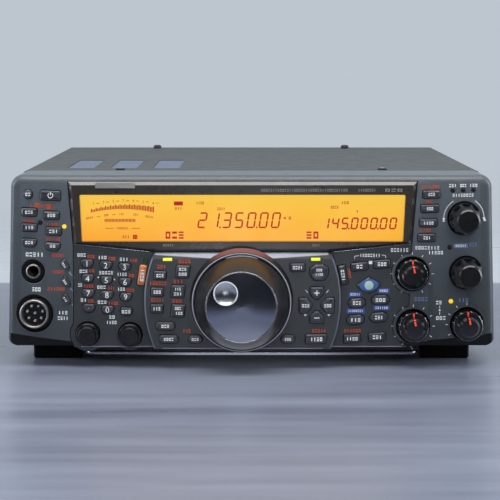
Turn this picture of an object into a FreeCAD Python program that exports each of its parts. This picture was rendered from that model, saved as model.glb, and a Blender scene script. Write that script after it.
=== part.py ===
import FreeCAD, Part
import math
import os
from types import SimpleNamespace

import Sketcher

# A desktop radio transceiver. X runs to the right as its user sees it, Y into the depth of the
# case and Z up from the desk. Depths are counted from the front plane of the panel.

sizes = {
    # case
    "case_width": 273.4,
    "case_height": 96.0,
    "case_depth": 317.0,
    "foot_height": 11.0,
    "dial_reach": 30.0,
    "socket_reach": 24.0,
    "sheet_thick": 1.2,
    "cover_half": 131.5,
    "cover_bend": 2.5,
    "cover_split": 48.0,
    "cover_gap": 0.4,
    "rear_plate_thick": 4.0,
    "fin_depth": 10.0,
    # front panel
    "panel_depth": 42.0,
    "panel_lean": 2.9,
    "panel_corner": 7.0,
    "panel_foot": 4.0,
    "panel_edge": 5.0,
    "panel_wall": 4.0,
    "panel_shell": 2.0,
    "post_x": 127.2,
    "post_low": 5.0,
    "post_high": 90.0,
    "post_radius": 2.6,
    "bow_start": 98.0,
    "bow_radius": 118.0,
    "undercut_outer": 7.2,
    "undercut_inner": 3.0,
    "undercut_deep": 6.6,
    "sill_high": 9.0,
    "part_gap": 0.3,
    "board_depth": 10.5,
    "board_thick": 1.6,
    # display
    "bezel_left": 101.6,
    "bezel_right": 91.8,
    "bezel_top": 92.6,
    "bezel_side": 57.8,
    "bezel_foot": 53.6,
    "bezel_taper": 2.8,
    "bezel_proud": 1.4,
    "bezel_bevel": 1.9,
    "bezel_flange": 1.2,
    "side_flange": 0.3,
    "flange_depth": 5.5,
    "screen_left": 95.0,
    "screen_right": 85.2,
    "screen_top": 85.3,
    "screen_bottom": 59.4,
    "screen_taper": 1.1,
    "screen_depth": 0.8,
    # fascia below the display
    "fascia_left": 99.0,
    "fascia_right": 86.6,
    "fascia_depth": 0.5,
    "fascia_thick": 3.6,
    "fascia_lip": 1.2,
    "slope_left": 56.3,
    "slope_right": 45.3,
    "stage_left": 54.0,
    "stage_right": 44.2,
    "stage_radius": 68.0,
    "stage_proud": 6.0,
    "stage_wall": 3.0,
    "stage_edge": 1.4,
    "ledge_drop": 3.0,
    # dial
    "dial_x": -5.4,
    "dial_height": 26.4,
    "dial_face": 19.6,
    "dial_skirt": 25.6,
    "dial_back": 7.6,
    "dial_waist": 13.6,
    "dial_ring": 1.0,
    "collar_radius": 28.4,
    "collar_rise": 1.5,
    "collar_lip": 27.5,
    "collar_proud": 3.4,
    "collar_bore": 26.1,
    "cup_radius": 6.7,
    "cup_deep": 2.6,
    "cup_out": 11.4,
    "cup_angle": 138.0,
    # shafts and wells behind every knob
    "spindle": 3.0,
    "sleeve": 4.4,
    "shaft_gap": 0.05,
    "bushing": 5.6,
    "bushing_gap": 0.25,
    "housing": 7.2,
    "boss_back": 8.0,
    "well_floor": 6.0,
    "knob_gap": 0.6,
    "gain_well": 9.9,
    "gain_ring": 8.4,
    "gain_ring_reach": 6.0,
    "gain_cap": 6.15,
    "gain_cap_reach": 13.0,
    "turn_well": 9.7,
    "turn_base": 8.7,
    "turn_tip": 6.4,
    "turn_reach": 19.5,
    "filter_well": 7.3,
    "filter_knob": 6.4,
    "filter_reach": 7.5,
    "filter_face": 4.7,
    "filter_skirt": 2.6,
    "filter_shoulder": 1.1,
    "filter_edge": 0.6,
    "boss_wall": 1.5,
    "filter_boss": 9.8,
    "flute_radius": 3.2,
    "flute_bite": 0.7,
    "knob_edge": 0.8,
    # keys
    "key_proud": 1.4,
    "key_gap": 0.4,
    "key_back": 9.0,
    "key_edge": 0.35,
    "key_corner": 0.9,
    "pill_corner": 2.0,
    "oval_corner": 1.3,
    "loaf_corner": 1.5,
    "number_x": -91.2,
    "number_z": 47.0,
    "number_across": 10.4,
    "number_drop": 1.0,
    "number_down": 8.3,
    "number_shift": 0.25,
    # sockets on the front
    "phones_x": -121.5,
    "phones_z": 42.3,
    "phones_bore": 3.2,
    "phones_nut": 4.0,
    "phones_well": 7.2,
    "phones_length": 16.0,
    "mike_x": -121.0,
    "mike_z": 18.7,
    "mike_well": 11.1,
    "mike_shell": 8.0,
    "mike_inner": 6.9,
    "mike_proud": 1.2,
    "mike_length": 14.0,
    "mike_boss_back": 9.2,
    "mike_nut": 8.8,
    "mike_pin": 0.55,
    "mike_pin_circle": 4.4,
    # lamps
    "lamp_radius": 1.25,
    "bar_wide": 5.0,
    "bar_high": 1.5,
    "lamp_proud": 0.3,
    "lamp_gap": 0.15,
    # feet and bail
    "foot_x": 111.0,
    "foot_width": 28.0,
    "foot_front": 28.0,
    "foot_length": 14.0,
    "foot_round": 1.6,
    "rear_foot_radius": 9.0,
    "rear_foot_inset": 32.0,
    "bail_wire": 1.35,
    "bail_gap": 0.1,
    "bail_height": 6.7,
    "bail_half": 92.5,
    "bail_front": 8.0,
    "bail_bend": 6.0,
    "bail_back_bend": 3.0,
    "bail_pin": 9.0,
    "bail_hole": 5.2,
    # screws
    "screw_head": 2.9,
    "screw_head_high": 1.5,
    "screw_dome_high": 2.4,
    "screw_dome_round": 1.6,
    "screw_sunk": 0.4,
    "screw_shank": 1.5,
    "screw_gap": 0.15,
    "screw_top_x": 76.0,
    "screw_rear_x": 67.0,
    "screw_top_inset": 8.0,
    "screw_side_z": 75.0,
    "screw_low_z": 30.0,
    "screw_side_pitch": 110.0,
    "screw_side_first": 60.0,
    # chassis and boards
    "chassis_thick": 2.0,
    "rail_width": 16.0,
    "rail_high": 4.0,
    "standoff_high": 8.0,
    "standoff_inset": 8.0,
    "standoff_radius": 3.5,
    "main_board_half": 112.0,
    "main_board_front": 62.0,
    "main_board_back": 276.0,
    "shield_high": 12.0,
    "amp_left": 10.0,
    "amp_right": 118.0,
    "amp_standoff": 5.0,
    # loudspeaker and its grille
    "grille_x": -75.4,
    "grille_width": 15.6,
    "grille_pitch": 25.2,
    "grille_front": 66.0,
    "grille_length": 82.0,
    "grille_gap": 0.2,
    "grille_sunk": 0.3,
    "grille_plate": 0.8,
    "speaker_radius": 38.0,
    "speaker_deep": 26.0,
    "magnet_radius": 17.0,
    # fan
    "fan_x": -75.0,
    "fan_z": 48.0,
    "fan_size": 60.0,
    "fan_deep": 15.0,
    "fan_bore": 28.0,
    "fan_tip_gap": 0.7,
    "fan_hub": 12.0,
    "fan_spider": 2.0,
    "fan_shaft": 1.5,
    "fan_blades": 7,
    "fan_blade_thick": 1.0,
    "vent_slots": 16,
    "vent_slot": 3.2,
    "vent_inner": 12.0,
    "vent_outer": 26.0,
    # rear
    "fin_pitch": 6.2,
    "fin_thick": 2.2,
    "fin_count": 26,
    "fin_first": -32.0,
    "socket_block_high": 46.0,
    "aerial_z": 26.0,
    "aerial_first": 44.0,
    "aerial_pitch": 34.0,
    "aerial_barrel": 7.94,
    "aerial_flange": 25.0,
    "aerial_flange_thick": 2.5,
    "aerial_bore": 2.0,
    "power_x": 12.0,
    "power_z": 16.0,
    "power_width": 22.0,
    "power_high": 14.0,
    "power_reach": 14.0,
    "power_wall": 2.0,
    "power_pin": 1.3,
    "ground_x": -14.0,
    "ground_z": 30.0,
    "ground_stud": 2.0,
    "jack_first": -32.0,
    "jack_pitch": 13.0,
    "jack_nut": 4.2,
    "jack_bore": 1.8,
    "jack_reach": 3.0,
    "jack_z": 10.0,
    "serial_x": 12.0,
    "serial_z": 34.0,
    "serial_width": 31.0,
    "serial_high": 12.5,
    "serial_reach": 6.0,
}

# Outline, width, height and turn of every kind of key cap.
key_caps = {
    "power_cap": ("slab", 11.2, 5.3, -2.5),
    "program_cap": ("round", 4.9, 4.9, 0.0),
    "level_cap": ("slab", 8.7, 4.3, -2.5),
    "moon_cap": ("moon", 8.2, 4.5, -3.0),
    "wedge_cap": ("wedge", 5.6, 6.9, 0.0),
    "number_cap": ("loaf", 6.6, 4.5, -2.0),
    "fine_cap": ("slab", 4.1, 11.2, -8.0),
    "small_cap": ("slab", 6.8, 4.7, -2.0),
    "mode_cap": ("skew", 8.2, 6.9, -2.0),
    "pill_cap": ("pill", 10.4, 4.4, -1.5),
    "step_cap": ("oval", 7.7, 4.3, 0.0),
    "menu_cap": ("slab", 8.0, 4.4, 2.0),
    "entry_cap": ("octagon", 10.0, 8.8, 0.0),
    "scan_cap": ("skirt", 12.0, 5.0, 1.0),
    "plus_cap": ("pointer", 6.8, 7.4, -90.0),
    "minus_cap": ("pointer", 6.8, 7.6, 90.0),
    "left_cap": ("pointer", 7.0, 8.4, 0.0),
    "right_cap": ("pointer", 7.0, 8.4, 180.0),
    "call_cap": ("slab", 4.2, 11.0, 10.0),
    "lens_cap": ("diamond", 15.0, 9.4, 2.0),
    "vfo_cap": ("oval", 9.7, 5.2, 5.0),
    "memory_cap": ("slab", 9.4, 4.5, 5.0),
    "offset_cap": ("slab", 9.7, 4.2, 1.5),
}

# The surface that each family of keys stands on, and its keys: cap, X from the middle of the case
# and Z from its bottom.
key_families = {
    "power_key": ("cap", {"power": ("power_cap", -111.1, 84.9)}),
    "programmable_key": ("cap", {"program": ("program_cap", -123.8, 85.4)}),
    "input_level_keys": ("cap", {
        "attenuator": ("level_cap", -123.3, 75.5),
        "preamp": ("level_cap", -110.7, 73.9),
        "voice": ("level_cap", -123.3, 67.0),
        "speech": ("level_cap", -109.6, 65.1),
    }),
    "send_tuner_keys": ("cap", {
        "send": ("moon_cap", -123.4, 58.4),
        "tuner": ("moon_cap", -110.2, 56.5),
    }),
    "notch_keys": ("cap", {
        "noise": ("wedge_cap", -103.9, 46.4),
        "reduction": ("wedge_cap", -103.4, 36.8),
        "notch": ("wedge_cap", -103.4, 27.1),
    }),
    "function_key": ("pad", {"fine": ("fine_cap", -60.7, 40.6)}),
    "transmit_keys": ("stage", {
        "mike_gain": ("small_cap", -50.4, 41.2),
        "carrier": ("small_cap", -52.0, 32.0),
        "keyer": ("small_cap", -52.3, 22.7),
    }),
    "mode_keys": ("stage", {
        "sideband": ("mode_cap", -37.9, 43.3),
        "morse": ("mode_cap", -40.6, 32.3),
        "voice_mode": ("mode_cap", -40.6, 21.5),
    }),
    "display_keys": ("stage", {
        "clear_line": ("pill_cap", -47.6, 12.9),
        "display_line": ("pill_cap", -45.8, 5.6),
    }),
    "menu_keys": ("stage", {
        "menu": ("menu_cap", 25.5, 45.6),
        "entry": ("entry_cap", 37.4, 42.8),
    }),
    "cursor_keys": ("stage", {
        "plus": ("plus_cap", 36.2, 31.3),
        "minus": ("minus_cap", 36.2, 17.8),
        "left": ("left_cap", 30.0, 24.4),
        "right": ("right_cap", 42.2, 24.4),
    }),
    "scan_keys": ("stage", {
        "step": ("step_cap", -31.1, 5.6),
        "control": ("step_cap", 20.2, 5.6),
        "scan": ("scan_cap", 36.0, 5.7),
    }),
    "call_key": ("pad", {"call": ("call_cap", 50.9, 40.6)}),
    "lens_key": ("pad", {"lens": ("lens_cap", 65.3, 34.9)}),
    "vfo_keys": ("pad", {
        "swap": ("vfo_cap", 58.7, 25.0),
        "split": ("vfo_cap", 71.8, 26.7),
        "source": ("vfo_cap", 58.0, 15.5),
        "equal": ("vfo_cap", 71.0, 16.9),
    }),
    "memory_keys": ("pad", {
        "recall": ("memory_cap", 60.0, 45.4),
        "store": ("memory_cap", 72.5, 46.8),
        "transfer": ("memory_cap", 56.1, 4.9),
        "keep": ("memory_cap", 70.1, 5.8),
    }),
    "offset_keys": ("cap", {
        "receive": ("offset_cap", 99.6, 85.6),
        "transmit": ("offset_cap", 98.7, 77.7),
        "clear": ("offset_cap", 98.0, 69.7),
        "enter": ("offset_cap", 97.2, 61.5),
    }),
}

# Knob axes: X from the middle of the case and Z from its bottom.
knob_places = {
    "offset": (118.0, 72.1),
    "channel": (119.4, 41.7),
    "gain_one": (89.4, 41.3),
    "gain_two": (90.2, 11.9),
    "gain_three": (120.3, 12.7),
    "filter_left": (-91.2, 7.5),
    "filter_right": (-67.5, 7.1),
}

# Lamps: the surface that each one is set in, X and Z as above. The bars are wide and flat.
round_lamps = {
    "voice_lamp": ("cap", -117.2, 69.7),
    "speech_lamp": ("cap", -103.7, 67.6),
    "fine_lamp": ("pad", -58.8, 48.4),
    "ready_lamp": ("cap", 111.5, 87.7),
    "busy_lamp": ("cap", 117.4, 87.7),
    "link_lamp": ("cap", 123.2, 87.8),
    "channel_lamp": ("cap", 110.1, 56.1),
    "squelch_lamp": ("cap", 111.2, 25.7),
}
bar_lamps = {
    "main_bar": ("stage", -46.3, 49.9),
    "sub_bar": ("stage", 35.5, 50.0),
}


class Size:
    """A number together with the sheet expression that gives it."""

    def __init__(self, value, text=None):
        self.value = float(value)
        self.text = text or repr(self.value)

    def __add__(self, other):
        other = as_size(other)
        return Size(self.value + other.value, f"({self.text} + {other.text})")

    def __sub__(self, other):
        other = as_size(other)
        return Size(self.value - other.value, f"({self.text} - {other.text})")

    def __mul__(self, other):
        other = as_size(other)
        return Size(self.value * other.value, f"({self.text} * {other.text})")

    def __truediv__(self, other):
        other = as_size(other)
        return Size(self.value / other.value, f"({self.text} / {other.text})")

    def __radd__(self, other):
        return as_size(other) + self

    def __rsub__(self, other):
        return as_size(other) - self

    def __rmul__(self, other):
        return as_size(other) * self

    def __neg__(self):
        return as_size(0) - self


def as_size(number):
    return number if isinstance(number, Size) else Size(number)


def cosine(angle):
    angle = as_size(angle)
    return Size(math.cos(math.radians(angle.value)), f"cos({angle.text} * 1 deg)")


def sine(angle):
    angle = as_size(angle)
    return Size(math.sin(math.radians(angle.value)), f"sin({angle.text} * 1 deg)")


def root(size):
    return Size(math.sqrt(size.value), f"sqrt({size.text})")


def larger(one, other):
    one, other = as_size(one), as_size(other)
    return Size(max(one.value, other.value), f"max({one.text}; {other.text})")


def magnitude(size):
    size = as_size(size)
    return Size(abs(size.value), f"abs({size.text})")


doc = FreeCAD.newDocument("transceiver")
sheet = doc.addObject("Spreadsheet::Sheet", "Dims")


def enter(name, value):
    """Write one dimension into the next row of the sheet and return it."""
    enter.row += 1
    sheet.set(f"A{enter.row}", name)
    sheet.set(f"B{enter.row}", str(value))
    sheet.setAlias(f"B{enter.row}", name)
    return Size(value, f"Dims.{name}")


enter.row = 0
S = SimpleNamespace(**{name: enter(name, value) for name, value in sizes.items()})
caps = {
    name: (shape, enter(f"{name}_wide", wide), enter(f"{name}_high", high), enter(f"{name}_turn", turn))
    for name, (shape, wide, high, turn) in key_caps.items()
}
knobs = {
    name: (enter(f"{name}_x", x), enter(f"{name}_z", z) + S.foot_height)
    for name, (x, z) in knob_places.items()
}
doc.recompute()

base = S.foot_height
top = S.foot_height + S.case_height
panel_half = S.case_width / 2
rear_face = S.case_depth
rear_inside = S.case_depth - S.fin_depth - S.rear_plate_thick
front_shift = (S.dial_reach - S.case_depth - S.socket_reach) / 2
dial_z = base + S.dial_height
surfaces = {"cap": Size(0.0), "pad": S.fascia_depth, "stage": -S.stage_proud}


def bind(thing, path, size):
    thing.setExpression(path, as_size(size).text)


class Drawing:
    """A sketch on one of a body's planes, its outlines pinned point by point to the sheet."""

    def __init__(self, body, name, role, lift=0, across=0, up=0):
        self.sketch = body.newObject("Sketcher::SketchObject", f"{body.Name}_{name}")
        plane = next(item for item in body.Origin.OriginFeatures if item.Role == role)
        self.sketch.AttachmentSupport = [(plane, "")]
        self.sketch.MapMode = "FlatFace"
        bind(self.sketch, "AttachmentOffset.Base.x", across)
        bind(self.sketch, "AttachmentOffset.Base.y", up)
        bind(self.sketch, "AttachmentOffset.Base.z", lift)
        self.rules = []
        self.ties = []

    def tie(self, kind, *where_and_size):
        *where, size = where_and_size
        size = as_size(size)
        self.ties.append((len(self.rules), size.text))
        self.rules.append(Sketcher.Constraint(kind, *where, size.value))

    def pin(self, shape, end, x, y):
        self.tie("DistanceX", -1, 1, shape, end, x)
        self.tie("DistanceY", -1, 1, shape, end, y)

    def outline(self, corners, closed=True):
        """Edges through the corners (x, y) or (x, y, radius of the arc to the next corner).

        A positive radius turns left on the way to the next corner, a negative one right."""
        first = self.sketch.GeometryCount
        count = len(corners) if closed else len(corners) - 1
        ends = []
        for index in range(count):
            x1, y1 = (as_size(n) for n in corners[index][:2])
            x2, y2 = (as_size(n) for n in corners[(index + 1) % len(corners)][:2])
            start = FreeCAD.Vector(x1.value, y1.value, 0)
            stop = FreeCAD.Vector(x2.value, y2.value, 0)
            if len(corners[index]) == 2:
                self.sketch.addGeometry(Part.LineSegment(start, stop), False)
                ends.append((1, 2))
                continue
            radius = as_size(corners[index][2])
            half = (stop - start) / 2
            rise = math.sqrt(radius.value ** 2 - half.Length ** 2)
            side = FreeCAD.Vector(-half.y, half.x, 0).normalize() * math.copysign(rise, radius.value)
            centre = start + half + side
            bow = (start + half - centre).normalize() * abs(radius.value)
            self.sketch.addGeometry(Part.Arc(start, centre + bow, stop), False)
            ends.append((1, 2) if radius.value > 0 else (2, 1))
            self.tie("Radius", first + index, radius if radius.value > 0 else -radius)
        for index in range(count):
            self.pin(first + index, ends[index][0], *corners[index][:2])
            if closed or index + 1 < count:
                after = (index + 1) % count
                self.rules.append(Sketcher.Constraint(
                    "Coincident", first + index, ends[index][1], first + after, ends[after][0]))
        if not closed:
            self.pin(first + count - 1, ends[-1][1], *corners[-1][:2])
        return self

    def box(self, x1, y1, x2, y2):
        return self.outline([(x1, y1), (x2, y1), (x2, y2), (x1, y2)])

    def circle(self, x, y, radius):
        x, y, radius = (as_size(n) for n in (x, y, radius))
        shape = self.sketch.addGeometry(
            Part.Circle(FreeCAD.Vector(x.value, y.value, 0), FreeCAD.Vector(0, 0, 1), radius.value), False)
        self.pin(shape, 3, x, y)
        self.tie("Radius", shape, radius)
        return self

    def done(self):
        if self.rules:
            self.sketch.addConstraint(self.rules)
            for index, text in self.ties:
                self.sketch.setExpression(f"Constraints[{index}]", text)
            self.rules = []
        return self.sketch


class Piece:
    """One sub-part: a body with its features, added in the order they are made."""

    def __init__(self, node):
        self.body = doc.addObject("PartDesign::Body", node)
        self.body.Label = node
        bind(self.body, "Placement.Base.y", front_shift)
        self.count = 0

    def name(self, kind):
        self.count += 1
        return f"{kind}_{self.count}"

    def front(self, depth=0, x=0, z=0):
        """A sketch seen from the front, at a depth, with its middle at (x, z)."""
        return Drawing(self.body, self.name("front"), "XZ_Plane", -as_size(depth), x, z)

    def side(self, x=0, depth=0, z=0):
        """A sketch of depth against height, at a distance x from the middle."""
        return Drawing(self.body, self.name("side"), "YZ_Plane", x, depth, z)

    def plan(self, z=0):
        """A sketch seen from above, at a height z."""
        return Drawing(self.body, self.name("plan"), "XY_Plane", z)

    def feature(self, kind, **settings):
        item = self.body.newObject(f"PartDesign::{kind}", f"{self.body.Name}_{self.name(kind)}")
        for key, value in settings.items():
            if isinstance(value, Size):
                bind(item, key, value)
            else:
                setattr(item, key, value)
        return item

    def pad(self, drawing, length, forward=False, both=False):
        """Extrude away from the viewer, or up or right of the plane; forward turns that round."""
        seen_from_front = drawing.sketch.AttachmentSupport[0][0].Role == "XZ_Plane"
        return self.feature("Pad", Profile=drawing.done(), Length=as_size(length), Midplane=both,
                            Reversed=seen_from_front != forward)

    def pocket(self, drawing, length=None, forward=False, both=False):
        """Cut away from the viewer, or down or left of the plane; forward turns that round."""
        settings = {"Type": 1} if length is None else {"Length": as_size(length)}
        return self.feature("Pocket", Profile=drawing.done(), Midplane=both, Reversed=forward, **settings)

    def turn(self, drawing, axis="H_Axis"):
        """Revolve about one of the sketch's own axes, the horizontal one unless told."""
        sketch = drawing.done()
        return self.feature("Revolution", Profile=sketch, ReferenceAxis=(sketch, [axis]), Angle=360.0)

    def edges(self, test):
        """Names of the edges of the piece so far whose middle point and direction pass the test."""
        doc.recompute()
        names = []
        for index, edge in enumerate(self.body.Tip.Shape.Edges, 1):
            middle = edge.valueAt((edge.FirstParameter + edge.LastParameter) / 2)
            along = edge.tangentAt((edge.FirstParameter + edge.LastParameter) / 2)
            if test(middle, along):
                names.append(f"Edge{index}")
        return names

    def round(self, radius, test):
        base = self.body.Tip
        return self.feature("Fillet", Base=(base, self.edges(test)), Radius=as_size(radius))

    def bevel_faces(self, size, direction):
        """Bevel every edge of the flat faces that look in a direction."""
        doc.recompute()
        base = self.body.Tip
        names = [
            f"Face{index}" for index, face in enumerate(base.Shape.Faces, 1)
            if face.Surface.isPlanar() and face.normalAt(0, 0).dot(direction) > 0.999
        ]
        return self.feature("Chamfer", Base=(base, names), Size=as_size(size))

    def repeat_round(self, feature, drawing, count):
        ring = self.feature("PolarPattern", Originals=[feature], Angle=360.0, Occurrences=int(count.value),
                            Axis=(drawing.sketch, ["N_Axis"]))
        self.body.Tip = ring
        return ring

    def repeat_along(self, feature, drawing, axis, length, count):
        row = self.feature("LinearPattern", Originals=[feature], Length=as_size(length),
                           Occurrences=int(count.value), Direction=(drawing.sketch, [axis]))
        self.body.Tip = row
        return row

    def follow(self, drawing, path):
        """Sweep a closed drawing along an open one."""
        return self.feature("AdditivePipe", Profile=drawing.done(), Spine=(path.done(), []))

    def blend(self, drawing, end):
        """Loft from one closed drawing to another."""
        return self.feature("AdditiveLoft", Profile=drawing.done(), Sections=[(end.done(), [""])])


def setback(x):
    """How far the bowed ends of the panel fall back at a distance from the middle."""
    out = larger(magnitude(x) - S.bow_start, 0)
    return S.bow_radius - root(S.bow_radius * S.bow_radius - out * out)


# Outlines of key caps in shares of their width and height, drawn anticlockwise.
cap_outlines = {
    "slab": [(-0.5, -0.5), (0.5, -0.5), (0.5, 0.5), (-0.5, 0.5)],
    "pill": [(-0.5, -0.5), (0.5, -0.5), (0.5, 0.5), (-0.5, 0.5)],
    "moon": [(-0.28, -0.5), (0.28, -0.5), (0.5, -0.05), (0.5, 0.5), (-0.5, 0.5), (-0.5, -0.05)],
    "loaf": [(-0.28, -0.5), (0.28, -0.5), (0.5, -0.05), (0.5, 0.5), (-0.5, 0.5), (-0.5, -0.05)],
    "wedge": [(-0.5, 0.12), (0.34, -0.5), (0.5, -0.22), (0.08, 0.5)],
    "skew": [(-0.5, -0.5), (0.42, -0.5), (0.5, 0.5), (-0.42, 0.5)],
    "skirt": [(-0.5, -0.5), (0.42, -0.5), (0.5, 0.5), (-0.5, 0.5)],
    "pointer": [(-0.5, -0.5), (0.08, -0.5), (0.5, -0.12), (0.5, 0.12), (0.08, 0.5), (-0.5, 0.5)],
    "diamond": [(-0.5, 0.0), (0.0, -0.5), (0.5, 0.0), (0.0, 0.5)],
    "oval": [(-0.3, -0.5), (0.3, -0.5), (0.5, -0.17), (0.5, 0.17),
             (0.3, 0.5), (-0.3, 0.5), (-0.5, 0.17), (-0.5, -0.17)],
    "octagon": [(-0.24, -0.5), (0.24, -0.5), (0.5, -0.14), (0.5, 0.24),
                (0.22, 0.5), (-0.22, 0.5), (-0.5, 0.24), (-0.5, -0.14)],
}


corner_radii = {"pill": S.pill_corner, "oval": S.oval_corner, "loaf": S.loaf_corner}


def rounded_shares(cap, grow):
    """The cap's outline in shares of its size, every corner turned into an arc's two ends."""
    shape, wide, high, _ = caps[cap]
    wide, high = wide.value + 2 * grow.value, high.value + 2 * grow.value
    radius = corner_radii.get(shape, S.key_corner) + grow
    corners = cap_outlines[shape]
    shares = []
    for index, (u, v) in enumerate(corners):
        arms = []
        for u2, v2 in (corners[index - 1], corners[(index + 1) % len(corners)]):
            arms.append((u2 - u, v2 - v, math.hypot((u2 - u) * wide, (v2 - v) * high)))
        (u1, v1, long1), (u2, v2, long2) = arms
        angle = math.acos((u1 * u2 * wide ** 2 + v1 * v2 * high ** 2) / (long1 * long2))
        back = radius.value / math.tan(angle / 2)
        shares.append((u + u1 * back / long1, v + v1 * back / long1, radius))
        shares.append((u + u2 * back / long2, v + v2 * back / long2))
    return shares


def draw_cap(drawing, cap, x, z, grow=0):
    """The outline of one key cap, grown all round for the hole that it sits in."""
    shape, wide, high, turn = caps[cap]
    grow = as_size(grow)
    wide, high = wide + 2 * grow, high + 2 * grow
    if shape == "round":
        return drawing.circle(x, z, wide / 2)
    return drawing.outline([
        (x + wide * u * cosine(turn) - high * v * sine(turn),
         z + wide * u * sine(turn) + high * v * cosine(turn), *arc)
        for u, v, *arc in rounded_shares(cap, grow)
    ])


def key_places():
    """Every key as its family, surface, cap and place, entered in the sheet."""
    places = []
    for family, (surface, keys) in key_families.items():
        for name, (cap, x, z) in keys.items():
            x, z = enter(f"{name}_key_x", x), enter(f"{name}_key_z", z)
            places.append((family, surface, cap, x, z + base))
    for index in range(12):
        row, column = divmod(index, 3)
        x = S.number_x + S.number_across * column + S.number_shift * row
        z = S.number_z - S.number_drop * column - S.number_down * row
        places.append(("number_keys", "pad", "number_cap", x, z + base))
    return places


keys = key_places()
doc.recompute()
clear_ahead = S.stage_proud + S.key_proud * 2


def surface_at(surface, x):
    return surfaces[surface] + (setback(x) if surface == "cap" else 0)


def cut_key_holes(piece, surface_names):
    """Holes for all keys that stand on the given surfaces."""
    places = [key[2:] for key in keys if key[1] in surface_names]
    for first in range(0, len(places), 3):
        holes = piece.front(-clear_ahead)
        for place in places[first:first + 3]:
            draw_cap(holes, *place, S.key_gap)
        piece.pocket(holes, clear_ahead + S.key_back)


def family_piece(family):
    """The caps of one family of keys, each from just proud of its surface back to its switch."""
    piece = Piece(family)
    for _, surface, cap, x, z in (key for key in keys if key[0] == family):
        face = surface_at(surface, x) - S.key_proud
        drawing = piece.front(face)
        draw_cap(drawing, cap, x, z)
        piece.pad(drawing, S.key_back - face)
    piece.bevel_faces(S.key_edge, FreeCAD.Vector(0, -1, 0))
    return piece


def lamp_places():
    places = []
    for name, (surface, x, z) in round_lamps.items():
        places.append(("round", surface, enter(f"{name}_x", x), enter(f"{name}_z", z) + base))
    for name, (surface, x, z) in bar_lamps.items():
        places.append(("bar", surface, enter(f"{name}_x", x), enter(f"{name}_z", z) + base))
    return places


lamps = lamp_places()
doc.recompute()
cap_knobs = ("offset", "channel", "gain_one", "gain_two", "gain_three")
edge_knobs = ("gain_one", "gain_two")
filter_knobs = ("filter_left", "filter_right")
gain_knobs = ("gain_one", "gain_two", "gain_three")
gain_boss = S.gain_well + S.boss_wall


def well_radius(name):
    if name in filter_knobs:
        return S.filter_well
    return S.gain_well if name in gain_knobs else S.turn_well


def cut_wells(piece, names):
    """Round recesses for the knobs, each with the hole for its bushing."""
    wells = piece.front(-clear_ahead)
    for name in names:
        wells.circle(*knobs[name], well_radius(name))
    piece.pocket(wells, clear_ahead + S.well_floor)
    bushings = piece.front(-clear_ahead)
    for name in names:
        bushings.circle(*knobs[name], S.bushing + S.bushing_gap)
    piece.pocket(bushings, clear_ahead + S.boss_back * 2)


def cut_lamp_holes(piece, surface_names):
    holes = piece.front(-clear_ahead)
    for kind, surface, x, z in lamps:
        if surface not in surface_names:
            continue
        if kind == "round":
            holes.circle(x, z, S.lamp_radius + S.lamp_gap)
        else:
            wide, high = S.bar_wide / 2 + S.lamp_gap, S.bar_high / 2 + S.lamp_gap
            holes.box(x - wide, z - high, x + wide, z + high)
    piece.pocket(holes, clear_ahead + S.boss_back * 2)


def bezel_corners(gap=0):
    """The display frame seen from the front, grown by a gap, its two lower sides sloping."""
    side = base + S.bezel_side
    foot = base + S.bezel_foot
    rise = base + S.bezel_top + gap
    return [
        (-S.bezel_left - gap, rise), (-S.bezel_left + S.bezel_taper - gap, side - gap),
        (-S.slope_left, foot - gap), (S.slope_right, foot - gap),
        (S.bezel_right - S.bezel_taper + gap, side - gap), (S.bezel_right + gap, rise),
    ]


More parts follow.
